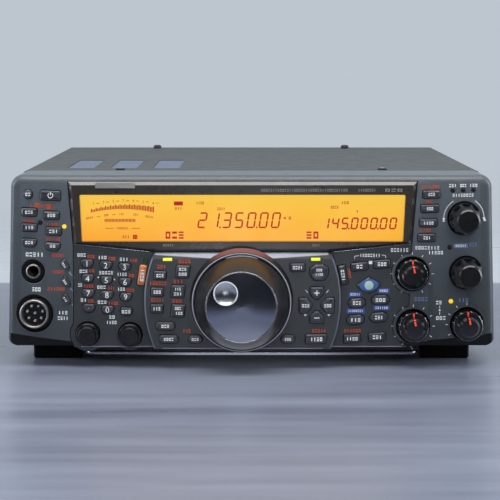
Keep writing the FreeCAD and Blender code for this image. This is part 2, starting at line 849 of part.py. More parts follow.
def front_panel():
    piece = Piece("front_panel")
    top_half = panel_half - S.panel_lean
    piece.pad(piece.front().outline([
        (-panel_half, base), (panel_half, base), (top_half, top), (-top_half, top)]), S.panel_depth)
    piece.round(S.panel_corner, lambda middle, along: abs(along.y) > 0.99 and middle.z > base.value + 1)

    def cut_bow():
        beyond = panel_half + 1
        bow = piece.plan(base - 1)
        for way in (1, -1):
            bow.outline([
                (way * S.bow_start, 0, way * S.bow_radius), (way * beyond, setback(beyond)),
                (way * beyond, -1), (way * S.bow_start, -1)])
        piece.pocket(bow, both=True)

    cut_bow()

    high_enough = top.value - S.panel_corner.value
    far_enough = top_half.value - S.panel_corner.value

    def on_front_rim(middle, along):
        ahead = middle.y <= setback(magnitude(Size(middle.x))).value + 0.6
        return ahead and (middle.z > high_enough or abs(middle.x) > far_enough) and middle.z > base.value + 0.1

    piece.round(S.panel_edge, on_front_rim)

    inner_half = top_half - S.panel_shell
    inner_bow = S.bow_radius - S.panel_wall
    out = inner_half - S.bow_start
    bow_end = S.bow_radius - root(inner_bow * inner_bow - out * out)
    behind = S.panel_depth + 1
    sill_top = base + S.sill_high
    hollow = piece.plan(sill_top)
    hollow.outline([
        (-inner_half, behind), (-inner_half, bow_end, inner_bow), (-S.bow_start, S.panel_wall),
        (S.bow_start, S.panel_wall, inner_bow), (inner_half, bow_end), (inner_half, behind)])
    piece.pocket(hollow, S.case_height - S.sill_high - S.panel_shell, forward=True)
    well = piece.plan(base + S.panel_shell)
    left, right = -S.fascia_left - S.part_gap, S.fascia_right + S.part_gap
    well.outline([
        (-inner_half, behind), (-inner_half, S.boss_back), (left, S.boss_back), (left, S.panel_wall),
        (right, S.panel_wall), (right, S.boss_back), (inner_half, S.boss_back), (inner_half, behind)])
    piece.pocket(well, S.sill_high - S.panel_shell + 1, forward=True)

    undercut = piece.front(-1)
    low = base - 1
    undercut.outline([
        (-panel_half - 1, low), (-S.fascia_left, low), (-S.fascia_left, base + S.undercut_inner),
        (-panel_half - 1, base + S.undercut_outer)])
    undercut.outline([
        (S.fascia_right, low), (panel_half + 1, low), (panel_half + 1, base + S.undercut_outer),
        (S.fascia_right, base + S.undercut_inner)])
    piece.pocket(undercut, S.undercut_deep + 1)

    def along_foot(middle, along):
        return abs(along.y) > 0.99 and abs(middle.x) > panel_half.value - 1 and middle.z < base.value + 0.1

    piece.round(S.panel_foot, along_foot)

    bosses = piece.front(S.panel_wall - 1)
    for name in ("offset", "channel"):
        bosses.circle(*knobs[name], S.turn_well + S.boss_wall)
    bosses.circle(S.phones_x, base + S.phones_z, S.phones_well + S.boss_wall)
    piece.pad(bosses, S.boss_back - S.panel_wall + 1)
    mike_boss = piece.front(S.panel_wall - 1)
    mike_boss.circle(S.mike_x, base + S.mike_z, S.mike_well + S.boss_wall)
    piece.pad(mike_boss, S.mike_boss_back - S.panel_wall + 1)
    cut_bow()

    gap = S.part_gap
    window = piece.front(-clear_ahead)
    corners = bezel_corners(gap)
    window.outline([
        corners[0], corners[1], (-S.fascia_left - gap, base - 1),
        (S.fascia_right + gap, base - 1), corners[4], corners[5]])
    piece.pocket(window, clear_ahead + S.flange_depth + gap)
    nooks = piece.front(-clear_ahead)
    nooks.circle(*knobs["filter_left"], S.filter_boss + gap)
    nooks.circle(*knobs["filter_right"], S.filter_well + S.boss_wall + gap)
    piece.pocket(nooks, clear_ahead + S.board_depth + gap)

    for name in gain_knobs:
        boss = piece.front(setback(knobs[name][0]))
        boss.circle(*knobs[name], gain_boss)
        piece.pad(boss, S.boss_back - setback(knobs[name][0]))
    posts = piece.front(S.boss_back - 1)
    for way in (-1, 1):
        for height in (S.post_low, S.post_high):
            posts.circle(way * S.post_x, base + height, S.post_radius)
    piece.pad(posts, S.board_depth - S.boss_back + 1)

    cut_wells(piece, cap_knobs)
    sockets = piece.front(-clear_ahead)
    sockets.circle(S.phones_x, base + S.phones_z, S.phones_well)
    sockets.circle(S.mike_x, base + S.mike_z, S.mike_well)
    piece.pocket(sockets, clear_ahead + S.well_floor)
    through = piece.front(-clear_ahead)
    through.circle(S.phones_x, base + S.phones_z, S.phones_nut + S.bushing_gap)
    through.circle(S.mike_x, base + S.mike_z, S.mike_shell + S.bushing_gap)
    piece.pocket(through, clear_ahead + S.boss_back * 2)
    cut_key_holes(piece, ("cap",))
    cut_lamp_holes(piece, ("cap",))
    return piece


def display_bezel():
    piece = Piece("display_bezel")
    piece.pad(piece.front(-S.bezel_proud).outline(bezel_corners()[::-1]), S.bezel_proud + S.flange_depth)
    piece.bevel_faces(S.bezel_bevel, FreeCAD.Vector(0, -1, 0))
    flange = S.bezel_flange
    rim = piece.front(S.panel_wall + S.part_gap)
    rim.box(-S.bezel_left - S.side_flange, base + S.bezel_side + flange,
            S.bezel_right + S.side_flange, base + S.bezel_top + flange)
    piece.pad(rim, S.flange_depth - S.panel_wall - S.part_gap)
    screen = piece.front(-clear_ahead)
    screen.outline(screen_corners())
    piece.pocket(screen)
    piece.round(S.key_corner, lambda middle, along: abs(along.y) > 0.9
                and abs(middle.z - base.value - 72) < 15 and -96 < middle.x < 86.5)
    return piece


def screen_corners(gap=0):
    return [
        (-S.screen_left + gap, base + S.screen_top - gap),
        (-S.screen_left + S.screen_taper + gap, base + S.screen_bottom + gap),
        (S.screen_right - S.screen_taper - gap, base + S.screen_bottom + gap),
        (S.screen_right - gap, base + S.screen_top - gap),
    ]


def display_module():
    """The liquid crystal glass, set in the frame, on its lamp box."""
    piece = Piece("display_module")
    edge = S.fascia_lip
    piece.pad(piece.front(S.flange_depth).box(
        -S.screen_left - edge, base + S.screen_bottom - edge,
        S.screen_right + edge, base + S.screen_top + edge), S.board_depth - S.flange_depth)
    glass = piece.front(S.screen_depth).outline(screen_corners(S.part_gap))
    piece.pad(glass, S.flange_depth - S.screen_depth + 1)
    return piece


def stage_corners(inset=0):
    """The raised middle of the fascia: straight above and below, both sides swelling outwards."""
    rise = base + S.bezel_foot - S.part_gap - inset
    low = base + inset
    side = S.stage_radius - inset
    return [
        (-S.stage_left + inset, low), (S.stage_right - inset, low, side),
        (S.stage_right - inset, rise), (-S.stage_left + inset, rise, side),
    ]


def centre_fascia():
    piece = Piece("centre_fascia")
    plate = piece.front(S.fascia_depth)
    upper = bezel_corners()
    gap = S.part_gap
    plate.outline([
        (-S.fascia_left, base), (S.fascia_right, base),
        (upper[4][0], upper[4][1] - gap), (upper[3][0], upper[3][1] - gap),
        (upper[2][0], upper[2][1] - gap), (upper[1][0], upper[1][1] - gap)])
    piece.pad(plate, S.fascia_thick)
    nook = piece.front(S.fascia_depth)
    nook.circle(*knobs["filter_left"], S.filter_boss)
    piece.pad(nook, S.boss_back - S.fascia_depth)
    lip = piece.front(S.panel_wall + S.shaft_gap)
    lip.box(-S.fascia_left - S.fascia_lip, base + S.sill_high + gap,
            S.fascia_right + S.fascia_lip, base + S.bezel_foot - 2 * gap)
    piece.pad(lip, S.flange_depth - S.panel_wall - S.shaft_gap)
    boss = piece.front(S.fascia_depth)
    boss.circle(*knobs["filter_right"], S.filter_well + S.boss_wall)
    piece.pad(boss, S.boss_back - S.fascia_depth)

    stage = piece.front(-S.stage_proud).outline(stage_corners())
    piece.pad(stage, S.stage_proud + S.fascia_depth + 1)
    ledge_top = base + S.bezel_foot - gap
    ledge = piece.side(0)
    ledge.outline([
        (-S.stage_proud - 1, ledge_top - S.ledge_drop), (-S.stage_proud, ledge_top - S.ledge_drop),
        (S.fascia_depth, ledge_top), (S.fascia_depth, ledge_top + 1), (-S.stage_proud - 1, ledge_top + 1)])
    piece.pocket(ledge, both=True)
    front_of_stage = -S.stage_proud.value

    def on_stage_side(middle, along):
        return abs(middle.y - front_of_stage) < 0.01 and abs(along.z) > 0.5

    piece.round(S.stage_edge, on_stage_side)
    hollow = piece.front(S.stage_wall - S.stage_proud)
    inset = 2 * S.stage_wall
    hollow.box(-S.stage_left + inset, base + inset, S.stage_right - inset, ledge_top - inset)
    piece.pocket(hollow, S.stage_proud + S.boss_back)

    clear = piece.front(-clear_ahead)
    for name in edge_knobs:
        clear.circle(*knobs[name], gain_boss + gap)
    piece.pocket(clear)
    cut_wells(piece, filter_knobs)
    spindle = piece.front(-clear_ahead)
    spindle.circle(S.dial_x, dial_z, S.bushing + S.bushing_gap)
    piece.pocket(spindle)
    cut_key_holes(piece, ("pad", "stage"))
    cut_lamp_holes(piece, ("pad", "stage"))
    return piece


def dial_collar():
    """The fixed flared ring that the dial turns in, its foot set a little higher than its lip."""
    piece = Piece("dial_collar")
    foot = piece.front(-S.stage_proud)
    foot.circle(S.dial_x, dial_z + S.collar_rise, S.collar_radius)
    lip = piece.front(-S.stage_proud - S.collar_proud)
    lip.circle(S.dial_x, dial_z, S.collar_lip)
    piece.blend(foot, lip)
    bore = piece.front(-S.stage_proud - S.collar_proud - 1)
    bore.circle(S.dial_x, dial_z, S.collar_bore)
    piece.pocket(bore, S.collar_proud + 2)
    return piece


def tuning_dial():
    piece = Piece("tuning_dial")
    front = -S.dial_reach
    back = -S.dial_back
    ring = S.dial_ring
    profile = piece.side(S.dial_x, 0, dial_z).outline([
        (front + 0.6, 0), (S.key_back, 0), (S.key_back, S.spindle), (back, S.spindle),
        (back, S.dial_skirt - ring), (back - ring, S.dial_skirt), (-S.dial_waist, S.dial_skirt, 60),
        (front + ring * 0.4, S.dial_face), (front, S.dial_face - ring * 0.2),
        (front, S.dial_face - ring * 0.4), (front + 0.6, S.dial_face - ring * 0.6)])
    piece.turn(profile)
    cup = piece.front(front - 1)
    cup.circle(*cup_place(), S.cup_radius)
    piece.pocket(cup, 1.6 + S.cup_deep + ring)
    return piece


def cup_place():
    return S.dial_x + S.cup_out * cosine(S.cup_angle), dial_z + S.cup_out * sine(S.cup_angle)


def dial_finger_cup():
    """The polished hollow that a fingertip sits in to spin the dial."""
    piece = Piece("dial_finger_cup")
    x, z = cup_place()
    front = -S.dial_reach + 0.3
    seat = -S.dial_reach + 0.6 + S.cup_deep + S.dial_ring
    rim = S.cup_radius - S.shaft_gap
    hollow = rim - S.dial_ring / 2
    sphere = (hollow * hollow + S.cup_deep * S.cup_deep) / (2 * S.cup_deep)
    piece.turn(piece.side(x, 0, z).outline([
        (seat, 0), (seat, rim), (front, rim), (front, hollow, -sphere), (front + S.cup_deep, 0)]))
    return piece


def spindle_end(radius):
    """The rear of a knob: its back in the well and the spindle that runs in the bushing."""
    inside = S.well_floor - S.knob_gap
    return [(S.key_back, 0), (S.key_back, S.spindle), (inside, S.spindle), (inside, radius)]


def filter_knob(side):
    name = f"filter_{side}"
    piece = Piece(f"filter_knob_{side}")
    x, z = knobs[name]
    face = -S.filter_reach
    piece.turn(piece.side(x, 0, z).outline([
        (face, 0), *spindle_end(S.filter_knob), (-S.filter_skirt, S.filter_knob, S.filter_shoulder),
        (-S.filter_skirt - S.filter_shoulder, S.filter_knob - S.filter_shoulder),
        (face + S.filter_edge, S.filter_face, S.filter_edge), (face, S.filter_face - S.filter_edge)]))
    return piece


def flute(piece, x, z, radius, start, length, count, bite):
    cut = piece.front(start, x, z)
    cut.circle(0, radius + S.flute_radius - bite, S.flute_radius)
    feature = piece.pocket(cut, length)
    piece.repeat_round(feature, cut, as_size(count))


def turning_knob(node, name):
    """A tall tapered knob with finger flutes round its skirt."""
    piece = Piece(node)
    x, z = knobs[name]
    face = -S.turn_reach
    edge = S.knob_edge
    slope_end = face * 0.35
    piece.turn(piece.side(x, 0, z).outline([
        (face, 0), *spindle_end(S.turn_base), (slope_end, S.turn_base), (face + edge, S.turn_tip),
        (face, S.turn_tip - edge)]))
    flute(piece, x, z, S.turn_tip, face - 1, S.turn_reach * 0.72 + 1, 9, -S.flute_bite)
    return piece


def gain_ring(node, name):
    """The outer of two knobs on one axis, on a sleeve."""
    piece = Piece(node)
    x, z = knobs[name]
    face = -S.gain_ring_reach
    inside = S.well_floor - S.knob_gap
    bore = S.spindle + S.shaft_gap
    edge = S.knob_edge
    piece.turn(piece.side(x, 0, z).outline([
        (face, bore), (S.key_back, bore), (S.key_back, S.sleeve), (inside, S.sleeve),
        (inside, S.gain_ring), (face + edge, S.gain_ring), (face, S.gain_ring - edge)]))
    flute(piece, x, z, S.gain_ring, face - 1, S.gain_ring_reach, 18, S.flute_bite / 2)
    return piece


def gain_cap(node, name):
    """The inner of two knobs on one axis, its spindle inside the other's sleeve."""
    piece = Piece(node)
    x, z = knobs[name]
    face = -S.gain_cap_reach
    behind = -S.gain_ring_reach - S.part_gap
    edge = S.knob_edge
    piece.turn(piece.side(x, 0, z).outline([
        (face, 0), (S.key_back + edge, 0), (S.key_back + edge, S.spindle), (behind, S.spindle),
        (behind, S.gain_cap), (face + edge * 2, S.gain_cap - edge / 2), (face, S.gain_cap - edge * 2)]))
    return piece


def rotary_controls():
    """Encoders and pots: a housing between panel and board and a bushing for every spindle."""
    piece = Piece("rotary_controls")
    housings = piece.front(S.boss_back)
    bushings = piece.front(S.well_floor - S.knob_gap / 2)
    for place in knobs.values():
        housings.circle(*place, S.housing)
        bushings.circle(*place, S.bushing)
    piece.pad(housings, S.board_depth - S.boss_back)
    piece.pad(bushings, S.boss_back - S.well_floor + S.knob_gap / 2)
    encoder = piece.front(S.stage_wall - S.stage_proud)
    encoder.circle(S.dial_x, dial_z, S.housing * 2)
    piece.pad(encoder, S.board_depth + S.stage_proud - S.stage_wall)
    nose = piece.front(S.part_gap - S.dial_back)
    nose.circle(S.dial_x, dial_z, S.bushing)
    piece.pad(nose, S.dial_back)
    bores = piece.front(-S.dial_back - 1)
    bores.circle(S.dial_x, dial_z, S.spindle + S.shaft_gap)
    for name, place in knobs.items():
        bores.circle(*place, (S.sleeve if name in gain_knobs else S.spindle) + S.shaft_gap)
    piece.pocket(bores)
    return piece


def indicator_lamps():
    piece = Piece("indicator_lamps")
    for kind, surface, x, z in lamps:
        face = surface_at(surface, x) - S.lamp_proud
        drawing = piece.front(face)
        if kind == "round":
            drawing.circle(x, z, S.lamp_radius)
        else:
            wide, high = S.bar_wide / 2, S.bar_high / 2
            drawing.box(x - wide, z - high, x + wide, z + high)
        piece.pad(drawing, S.board_depth - face)
    return piece


def microphone_socket():
    piece = Piece("microphone_socket")
    x, z = S.mike_x, base + S.mike_z
    face = -S.mike_proud
    edge = S.knob_edge / 2
    back = face + S.mike_length
    piece.turn(piece.side(x, 0, z).outline([
        (face, S.mike_inner + edge), (face + edge, S.mike_inner), (back, S.mike_inner), (back, S.mike_shell),
        (S.mike_boss_back + 1, S.mike_shell), (S.mike_boss_back + 1, S.mike_nut),
        (S.mike_boss_back, S.mike_nut), (S.mike_boss_back, S.mike_shell), (face + edge, S.mike_shell),
        (face, S.mike_shell - edge)]))
    return piece


def microphone_insert():
    """The moulded carrier of the eight contacts, seven in a ring about one."""
    piece = Piece("microphone_insert")
    x, z = S.mike_x, base + S.mike_z
    seat = S.well_floor
    carrier = piece.front(seat, x, z)
    carrier.circle(0, 0, S.mike_inner - S.shaft_gap)
    piece.pad(carrier, S.mike_length - S.mike_proud - seat)
    middle = piece.front(seat - S.mike_proud * 2, x, z)
    middle.circle(0, 0, S.mike_pin)
    piece.pad(middle, S.mike_proud * 2 + 1)
    ring = piece.front(seat - S.mike_proud * 2, x, z)
    ring.circle(0, -S.mike_pin_circle, S.mike_pin)
    pin = piece.pad(ring, S.mike_proud * 2 + 1)
    piece.repeat_round(pin, ring, as_size(7))
    return piece


def headphone_jack():
    piece = Piece("headphone_jack")
    x, z = S.phones_x, base + S.phones_z
    face = S.well_floor / 3
    back = face + S.phones_length
    flange = S.phones_well - S.key_gap
    edge = S.knob_edge / 2
    piece.turn(piece.side(x, 0, z).outline([
        (face, S.phones_bore), (back, S.phones_bore), (back, S.phones_nut), (S.well_floor, S.phones_nut),
        (S.well_floor, flange), (S.well_floor - edge * 2, flange), (S.well_floor - edge * 2, S.phones_nut),
        (face + edge, S.phones_nut), (face, S.phones_nut - edge)]))
    return piece


hinge_depth = S.foot_front + S.foot_length / 2


def front_feet():
    piece = Piece("front_feet")
    for way in (-1, 1):
        block = piece.plan(0)
        middle = way * S.foot_x
        half = S.foot_width / 2
        block.box(middle - half, S.foot_front, middle + half, S.foot_front + S.foot_length)
        piece.pad(block, S.foot_height)
    piece.round(S.foot_round, lambda middle, along: abs(along.z) > 0.9 or middle.z < 0.1)
    inner = S.foot_x - S.foot_width / 2
    hinge = piece.side(-inner - S.bail_hole, hinge_depth, S.bail_height)
    hinge.circle(0, 0, S.bail_wire + S.bail_gap)
    piece.pocket(hinge, 2 * (inner + S.bail_hole), forward=True)
    return piece


def rear_feet():
    piece = Piece("rear_feet")
    discs = piece.plan(0)
    for way in (-1, 1):
        discs.circle(way * S.foot_x, rear_inside - S.rear_foot_inset, S.rear_foot_radius)
    piece.pad(discs, S.foot_height)
    piece.round(S.foot_round, lambda middle, along: middle.z < 0.1)
    return piece


def tilt_bail():
    """A wire stand that lies folded under the case and swings down to raise the front."""
    piece = Piece("tilt_bail")
    half, bend, tight = S.bail_half, S.bail_bend, S.bail_back_bend
    end = half + S.bail_pin
    path = piece.plan(S.bail_height)
    path.outline([
        (-end, hinge_depth), (-half - tight, hinge_depth, -tight), (-half, hinge_depth - tight),
        (-half, S.bail_front + bend, bend), (-half + bend, S.bail_front), (half - bend, S.bail_front, bend),
        (half, S.bail_front + bend), (half, hinge_depth - tight, -tight), (half + tight, hinge_depth),
        (end, hinge_depth)], closed=False)
    wire = piece.side(-end, hinge_depth, S.bail_height)
    wire.circle(0, 0, S.bail_wire)
    piece.follow(wire, path)
    return piece


def cover_profile(piece, low):
    """One half of the sheet cover seen from the front, its two corners bent."""
    half, bend, sheet = S.cover_half, S.cover_bend, S.sheet_thick
    inner = half - sheet
    seam = base + S.cover_split
    profile = piece.front(S.panel_depth)
    if low:
        edge, face, way = seam - S.cover_gap / 2, base, 1
    else:
        edge, face, way = seam + S.cover_gap / 2, top, -1
    inside = face + way * sheet
    profile.outline([
        (-half, edge), (-half, face + way * bend, way * bend), (-half + bend, face), (half - bend, face, way * bend),
        (half, face + way * bend), (half, edge), (inner, edge), (inner, face + way * bend, -way * (bend - sheet)),
        (half - bend, inside), (-half + bend, inside, -way * (bend - sheet)), (-inner, face + way * bend),
        (-inner, edge)])
    piece.pad(profile, rear_inside - S.panel_depth)


def grille_places():
    return [S.grille_x + step * S.grille_pitch for step in (-1, 0, 1)]


screw_hole = S.screw_shank + S.screw_gap
front_screws = [(way * S.screw_top_x, S.panel_depth + S.screw_top_inset) for way in (-1, 1)]
rear_screws = [(way * S.screw_rear_x, rear_inside - S.screw_top_inset) for way in (-1, 1)]
side_screw_depths = [S.screw_side_first + S.screw_side_pitch * step for step in range(3)]


def top_cover():
    piece = Piece("top_cover")
    cover_profile(piece, low=False)
    openings = piece.plan(top + 1)
    for x in grille_places():
        openings.box(x - S.grille_width / 2, S.grille_front, x + S.grille_width / 2,
                     S.grille_front + S.grille_length)
    for place in front_screws:
        openings.circle(*place, S.screw_head + S.screw_gap * 2)
    for place in rear_screws:
        openings.circle(*place, screw_hole)
    piece.pocket(openings, S.sheet_thick + 2)
    sides = piece.side(0)
    for depth in side_screw_depths:
        sides.circle(depth, base + S.screw_side_z, screw_hole)
    piece.pocket(sides, both=True)
    return piece


def bottom_cover():
    piece = Piece("bottom_cover")
    cover_profile(piece, low=True)
    holes = piece.plan(base + S.sheet_thick + 1)
    for way in (-1, 1):
        for depth in (side_screw_depths[0], side_screw_depths[2]):
            holes.circle(way * S.screw_top_x, depth, screw_hole)
    piece.pocket(holes, S.sheet_thick + 2)
    return piece


def chassis():
    """A folded tray with a rail across each end of its top."""
    piece = Piece("chassis")
    outer = S.cover_half - S.sheet_thick
    thick = S.chassis_thick
    floor = base + S.sheet_thick
    wall_top = top - S.sheet_thick - thick
    cut = S.cover_bend + S.part_gap
    tray = piece.front(S.panel_depth)
    tray.outline([
        (-outer, wall_top), (-outer, floor + cut), (-outer + cut, floor), (outer - cut, floor),
        (outer, floor + cut), (outer, wall_top), (outer - thick, wall_top), (outer - thick, floor + cut + 1),
        (outer - cut - 1, floor + thick), (-outer + cut + 1, floor + thick), (-outer + thick, floor + cut + 1),
        (-outer + thick, wall_top)])
    piece.pad(tray, rear_inside - S.panel_depth)
    for depth in (S.panel_depth, rear_inside - S.rail_width):
        rail = piece.front(depth)
        half = S.cover_half - S.cover_bend
        rail.box(-half, top - S.sheet_thick - S.rail_high, half, top - S.sheet_thick)
        piece.pad(rail, S.rail_width)
    standoffs = piece.plan(floor + thick)
    for place in standoff_places():
        standoffs.circle(*place, S.standoff_radius)
    piece.pad(standoffs, S.standoff_high)
    holes = piece.plan(top)
    for place in front_screws + rear_screws:
        holes.circle(*place, screw_hole)
    piece.pocket(holes, S.sheet_thick + S.rail_high + 1)
    lower = piece.plan(floor + thick + 1)
    for way in (-1, 1):
        for depth in (side_screw_depths[0], side_screw_depths[2]):
            lower.circle(way * S.screw_top_x, depth, screw_hole)
    piece.pocket(lower, thick + 2)
    sides = piece.side(0)
    for depth in side_screw_depths:
        sides.circle(depth, base + S.screw_side_z, screw_hole)
    piece.pocket(sides, both=True)
    return piece


def standoff_places():
    half = S.main_board_half - S.standoff_inset
    ends = (S.main_board_front + S.standoff_inset, S.main_board_back - S.standoff_inset)
    return [(way * half, depth) for way in (-1, 1) for depth in ends]


def cover_screws():
    piece = Piece("cover_screws")
    ways = (-1, 1)
    shank = S.sheet_thick + S.rail_high
    lower = [(way * S.screw_top_x, side_screw_depths[step]) for way in ways for step in (0, 2)]
    heads = piece.plan(top - S.sheet_thick)
    shanks = piece.plan(top)
    for place in front_screws:
        heads.circle(*place, S.screw_head)
    for place in front_screws + rear_screws:
        shanks.circle(*place, S.screw_shank)
    piece.pad(shanks, shank, forward=True)
    rear = piece.plan(top)
    for place in rear_screws:
        rear.circle(*place, S.screw_head)
    piece.pad(rear, S.screw_dome_high)
    piece.round(S.screw_dome_round, lambda middle, along: middle.z > top.value + S.screw_dome_high.value - 0.1)
    piece.pad(heads, S.sheet_thick - S.screw_sunk)
    under = piece.plan(base)
    under_shanks = piece.plan(base)
    for place in lower:
        under.circle(*place, S.screw_head)
        under_shanks.circle(*place, S.screw_shank)
    piece.pad(under, S.screw_head_high, forward=True)
    piece.pad(under_shanks, S.sheet_thick + S.chassis_thick)
    for way in ways:
        head = piece.side(way * S.cover_half)
        stem = piece.side(way * S.cover_half)
        for depth in side_screw_depths:
            head.circle(depth, base + S.screw_side_z, S.screw_head)
            stem.circle(depth, base + S.screw_side_z, S.screw_shank)
        piece.pad(head, S.screw_head_high, forward=way < 0)
        piece.pad(stem, S.sheet_thick + S.chassis_thick, forward=way > 0)
    return piece


def speaker_mesh():
    """The perforated plate under the top cover, raised a little into each of its openings."""
    piece = Piece("speaker_mesh")
    under = top - S.sheet_thick
    margin = 2 * S.cover_bend
    left = S.grille_x - S.grille_pitch - S.grille_width / 2 - margin
    right = S.grille_x + S.grille_pitch + S.grille_width / 2 + margin
    plate = piece.plan(under - S.grille_plate)
    plate.box(left, S.grille_front - margin, right, S.grille_front + S.grille_length + margin)
    piece.pad(plate, S.grille_plate)
    pads = piece.plan(under - S.grille_plate)
    inside = S.grille_width / 2 - S.grille_gap
    for x in grille_places():
        pads.box(x - inside, S.grille_front + S.grille_gap, x + inside,
                 S.grille_front + S.grille_length - S.grille_gap)
    piece.pad(pads, S.grille_plate + S.sheet_thick - S.grille_sunk)
    return piece


def speaker():
    """Cone, basket and magnet, hung under the grille."""
    piece = Piece("speaker")
    rim_top = top - S.sheet_thick - S.grille_plate
    depth = S.grille_front + S.grille_length / 2
    outer, deep, magnet = S.speaker_radius, S.speaker_deep, S.magnet_radius
    piece.turn(piece.side(S.grille_x, depth, rim_top).outline([
        (0, -deep), (magnet, -deep), (magnet, -deep * 0.6), (outer * 0.8, -deep * 0.2), (outer, -deep * 0.2),
        (outer, 0), (outer * 0.86, 0), (outer * 0.8, -deep * 0.1), (outer * 0.3, -deep * 0.4),
        (0, -deep * 0.3)]), axis="V_Axis")
    return piece


def fan_frame():
    piece = Piece("fan_frame")
    x, z = S.fan_x, base + S.fan_z
    half, bore = S.fan_size / 2, S.fan_bore
    front = rear_inside - S.fan_deep
    frame = piece.front(front, x, z)
    frame.box(-half, -half, half, half)
    piece.pad(frame, S.fan_deep)
    piece.round(S.fan_spider, lambda middle, along: abs(along.y) > 0.9)
    hole = piece.front(front - 1, x, z)
    hole.circle(0, 0, bore)
    piece.pocket(hole, S.fan_deep + 2)
    arm = S.fan_spider
    for long, wide in ((bore + 1, arm), (arm, bore + 1)):
        spider = piece.front(front, x, z)
        spider.box(-long, -wide, long, wide)
        piece.pad(spider, arm)
    motor = piece.front(front, x, z)
    motor.circle(0, 0, S.fan_hub)
    piece.pad(motor, arm)
    shaft = piece.front(front, x, z)
    shaft.circle(0, 0, S.fan_shaft)
    piece.pad(shaft, S.fan_deep - arm)
    return piece


def fan_rotor():
    """Hub and blades, running on the shaft of the frame."""
    piece = Piece("fan_rotor")
    x, z = S.fan_x, base + S.fan_z
    ahead = rear_inside - S.fan_deep + S.fan_spider + S.knob_gap
    deep = S.fan_deep - S.fan_spider - 2 * S.knob_gap
    hub = piece.front(ahead, x, z)
    hub.circle(0, 0, S.fan_hub)
    piece.pad(hub, deep)
    middle = ahead + deep / 2
    reach = S.fan_bore - S.fan_tip_gap - 1

    def section(out, chord, rise):
        """A blade seen along its own length, leaning from front to back."""
        drawing = piece.side(x + out, middle, z)
        half, lean, thick = chord / 2, rise / 2, S.fan_blade_thick / 2
        return drawing.outline([
            (-half, -lean - thick), (-half + thick, -lean - thick), (half, lean - thick), (half, lean + thick),
            (half - thick, lean + thick), (-half, -lean + thick)])

    blade = piece.blend(section(S.fan_hub - 1, deep * 0.8, deep * 0.7), section(reach, deep * 0.55, deep))
    piece.repeat_round(blade, hub, S.fan_blades)
    bore = piece.front(ahead - 1, x, z)
    bore.circle(0, 0, S.fan_shaft + S.shaft_gap)
    piece.pocket(bore, deep + 2)
    return piece


aerial_places = [(S.aerial_first + S.aerial_pitch * step, base + S.aerial_z) for step in range(3)]
jack_places = [(S.jack_first - S.jack_pitch * step, base + S.jack_z) for step in range(7)]
power_place = (S.power_x, base + S.power_z)
serial_place = (S.serial_x, base + S.serial_z)
ground_place = (S.ground_x, base + S.ground_z)
aerial_neck = S.aerial_barrel * 0.75
power_neck = (S.power_width / 2 - S.power_wall, S.power_high / 2 - S.power_wall)
serial_neck = (S.serial_width / 2 - S.power_wall * 2, S.serial_high / 2 - S.power_wall)


def centred_box(drawing, place, half_wide, half_high):
    x, z = place
    return drawing.box(x - half_wide, z - half_high, x + half_wide, z + half_high)


def rear_heat_sink():
    """Rear plate with its fins, the block that carries the sockets and the fan's vent."""
    piece = Piece("rear_heat_sink")
    back = S.rear_plate_thick + S.fin_depth
    plate = piece.front(rear_inside)
    plate.box(-S.cover_half, base, S.cover_half, top)
    piece.pad(plate, S.rear_plate_thick)
    piece.round(S.cover_bend, lambda middle, along: abs(along.y) > 0.9)
    edge = S.cover_half - S.cover_bend - 1
    block = piece.front(rear_inside)
    low, shelf, high = base + 1, base + S.jack_z + 8, base + S.socket_block_high
    side = S.fin_first - 6
    block.outline([
        (-edge, low), (edge, low), (edge, high), (side, high), (side, shelf), (-edge, shelf)])
    piece.pad(block, back)
    fin = piece.front(rear_inside)
    fin.box(S.fin_first, high - 1, S.fin_first + S.fin_thick, top - 3)
    first = piece.pad(fin, back)
    piece.repeat_along(first, fin, "H_Axis", S.fin_pitch * (S.fin_count - 1), S.fin_count)
    slot = piece.front(rear_inside - 1, S.fan_x, base + S.fan_z)
    slot.box(-S.vent_slot / 2, S.vent_inner, S.vent_slot / 2, S.vent_outer)
    vent = piece.pocket(slot, S.rear_plate_thick + 2)
    piece.repeat_round(vent, slot, S.vent_slots)
    holes = piece.front(rear_inside - 1)
    gap = S.screw_gap
    for place in aerial_places:
        holes.circle(*place, aerial_neck + gap)
    for place in jack_places:
        holes.circle(*place, S.jack_nut + gap)
    holes.circle(*ground_place, S.ground_stud + gap)
    centred_box(holes, power_place, power_neck[0] + gap, power_neck[1] + gap)
    centred_box(holes, serial_place, serial_neck[0] + gap, serial_neck[1] + gap)
    piece.pocket(holes, back + 2)
    return piece


def antenna_sockets():
    piece = Piece("antenna_sockets")
    half = S.aerial_flange / 2
    flanges = piece.front(rear_face)
    for place in aerial_places:
        centred_box(flanges, place, half, half)
    piece.pad(flanges, S.aerial_flange_thick)
    piece.round(S.fan_spider, lambda middle, along: abs(along.y) > 0.9)
    barrels = piece.front(rear_face)
    necks = piece.front(rear_inside - S.panel_shell)
    rings = piece.front(rear_face + S.socket_reach / 2)
    for place in aerial_places:
        barrels.circle(*place, S.aerial_barrel)
        necks.circle(*place, aerial_neck)
        rings.circle(*place, S.aerial_barrel - S.panel_shell)
        rings.circle(*place, S.aerial_bore + 1)
    piece.pad(barrels, S.socket_reach)
    piece.pad(necks, rear_face - rear_inside + S.panel_shell + 1)
    piece.pocket(rings, S.socket_reach)
    contacts = piece.front(rear_face + S.socket_reach / 2)
    for place in aerial_places:
        contacts.circle(*place, S.aerial_bore)
    piece.pocket(contacts, S.socket_reach)
    return piece


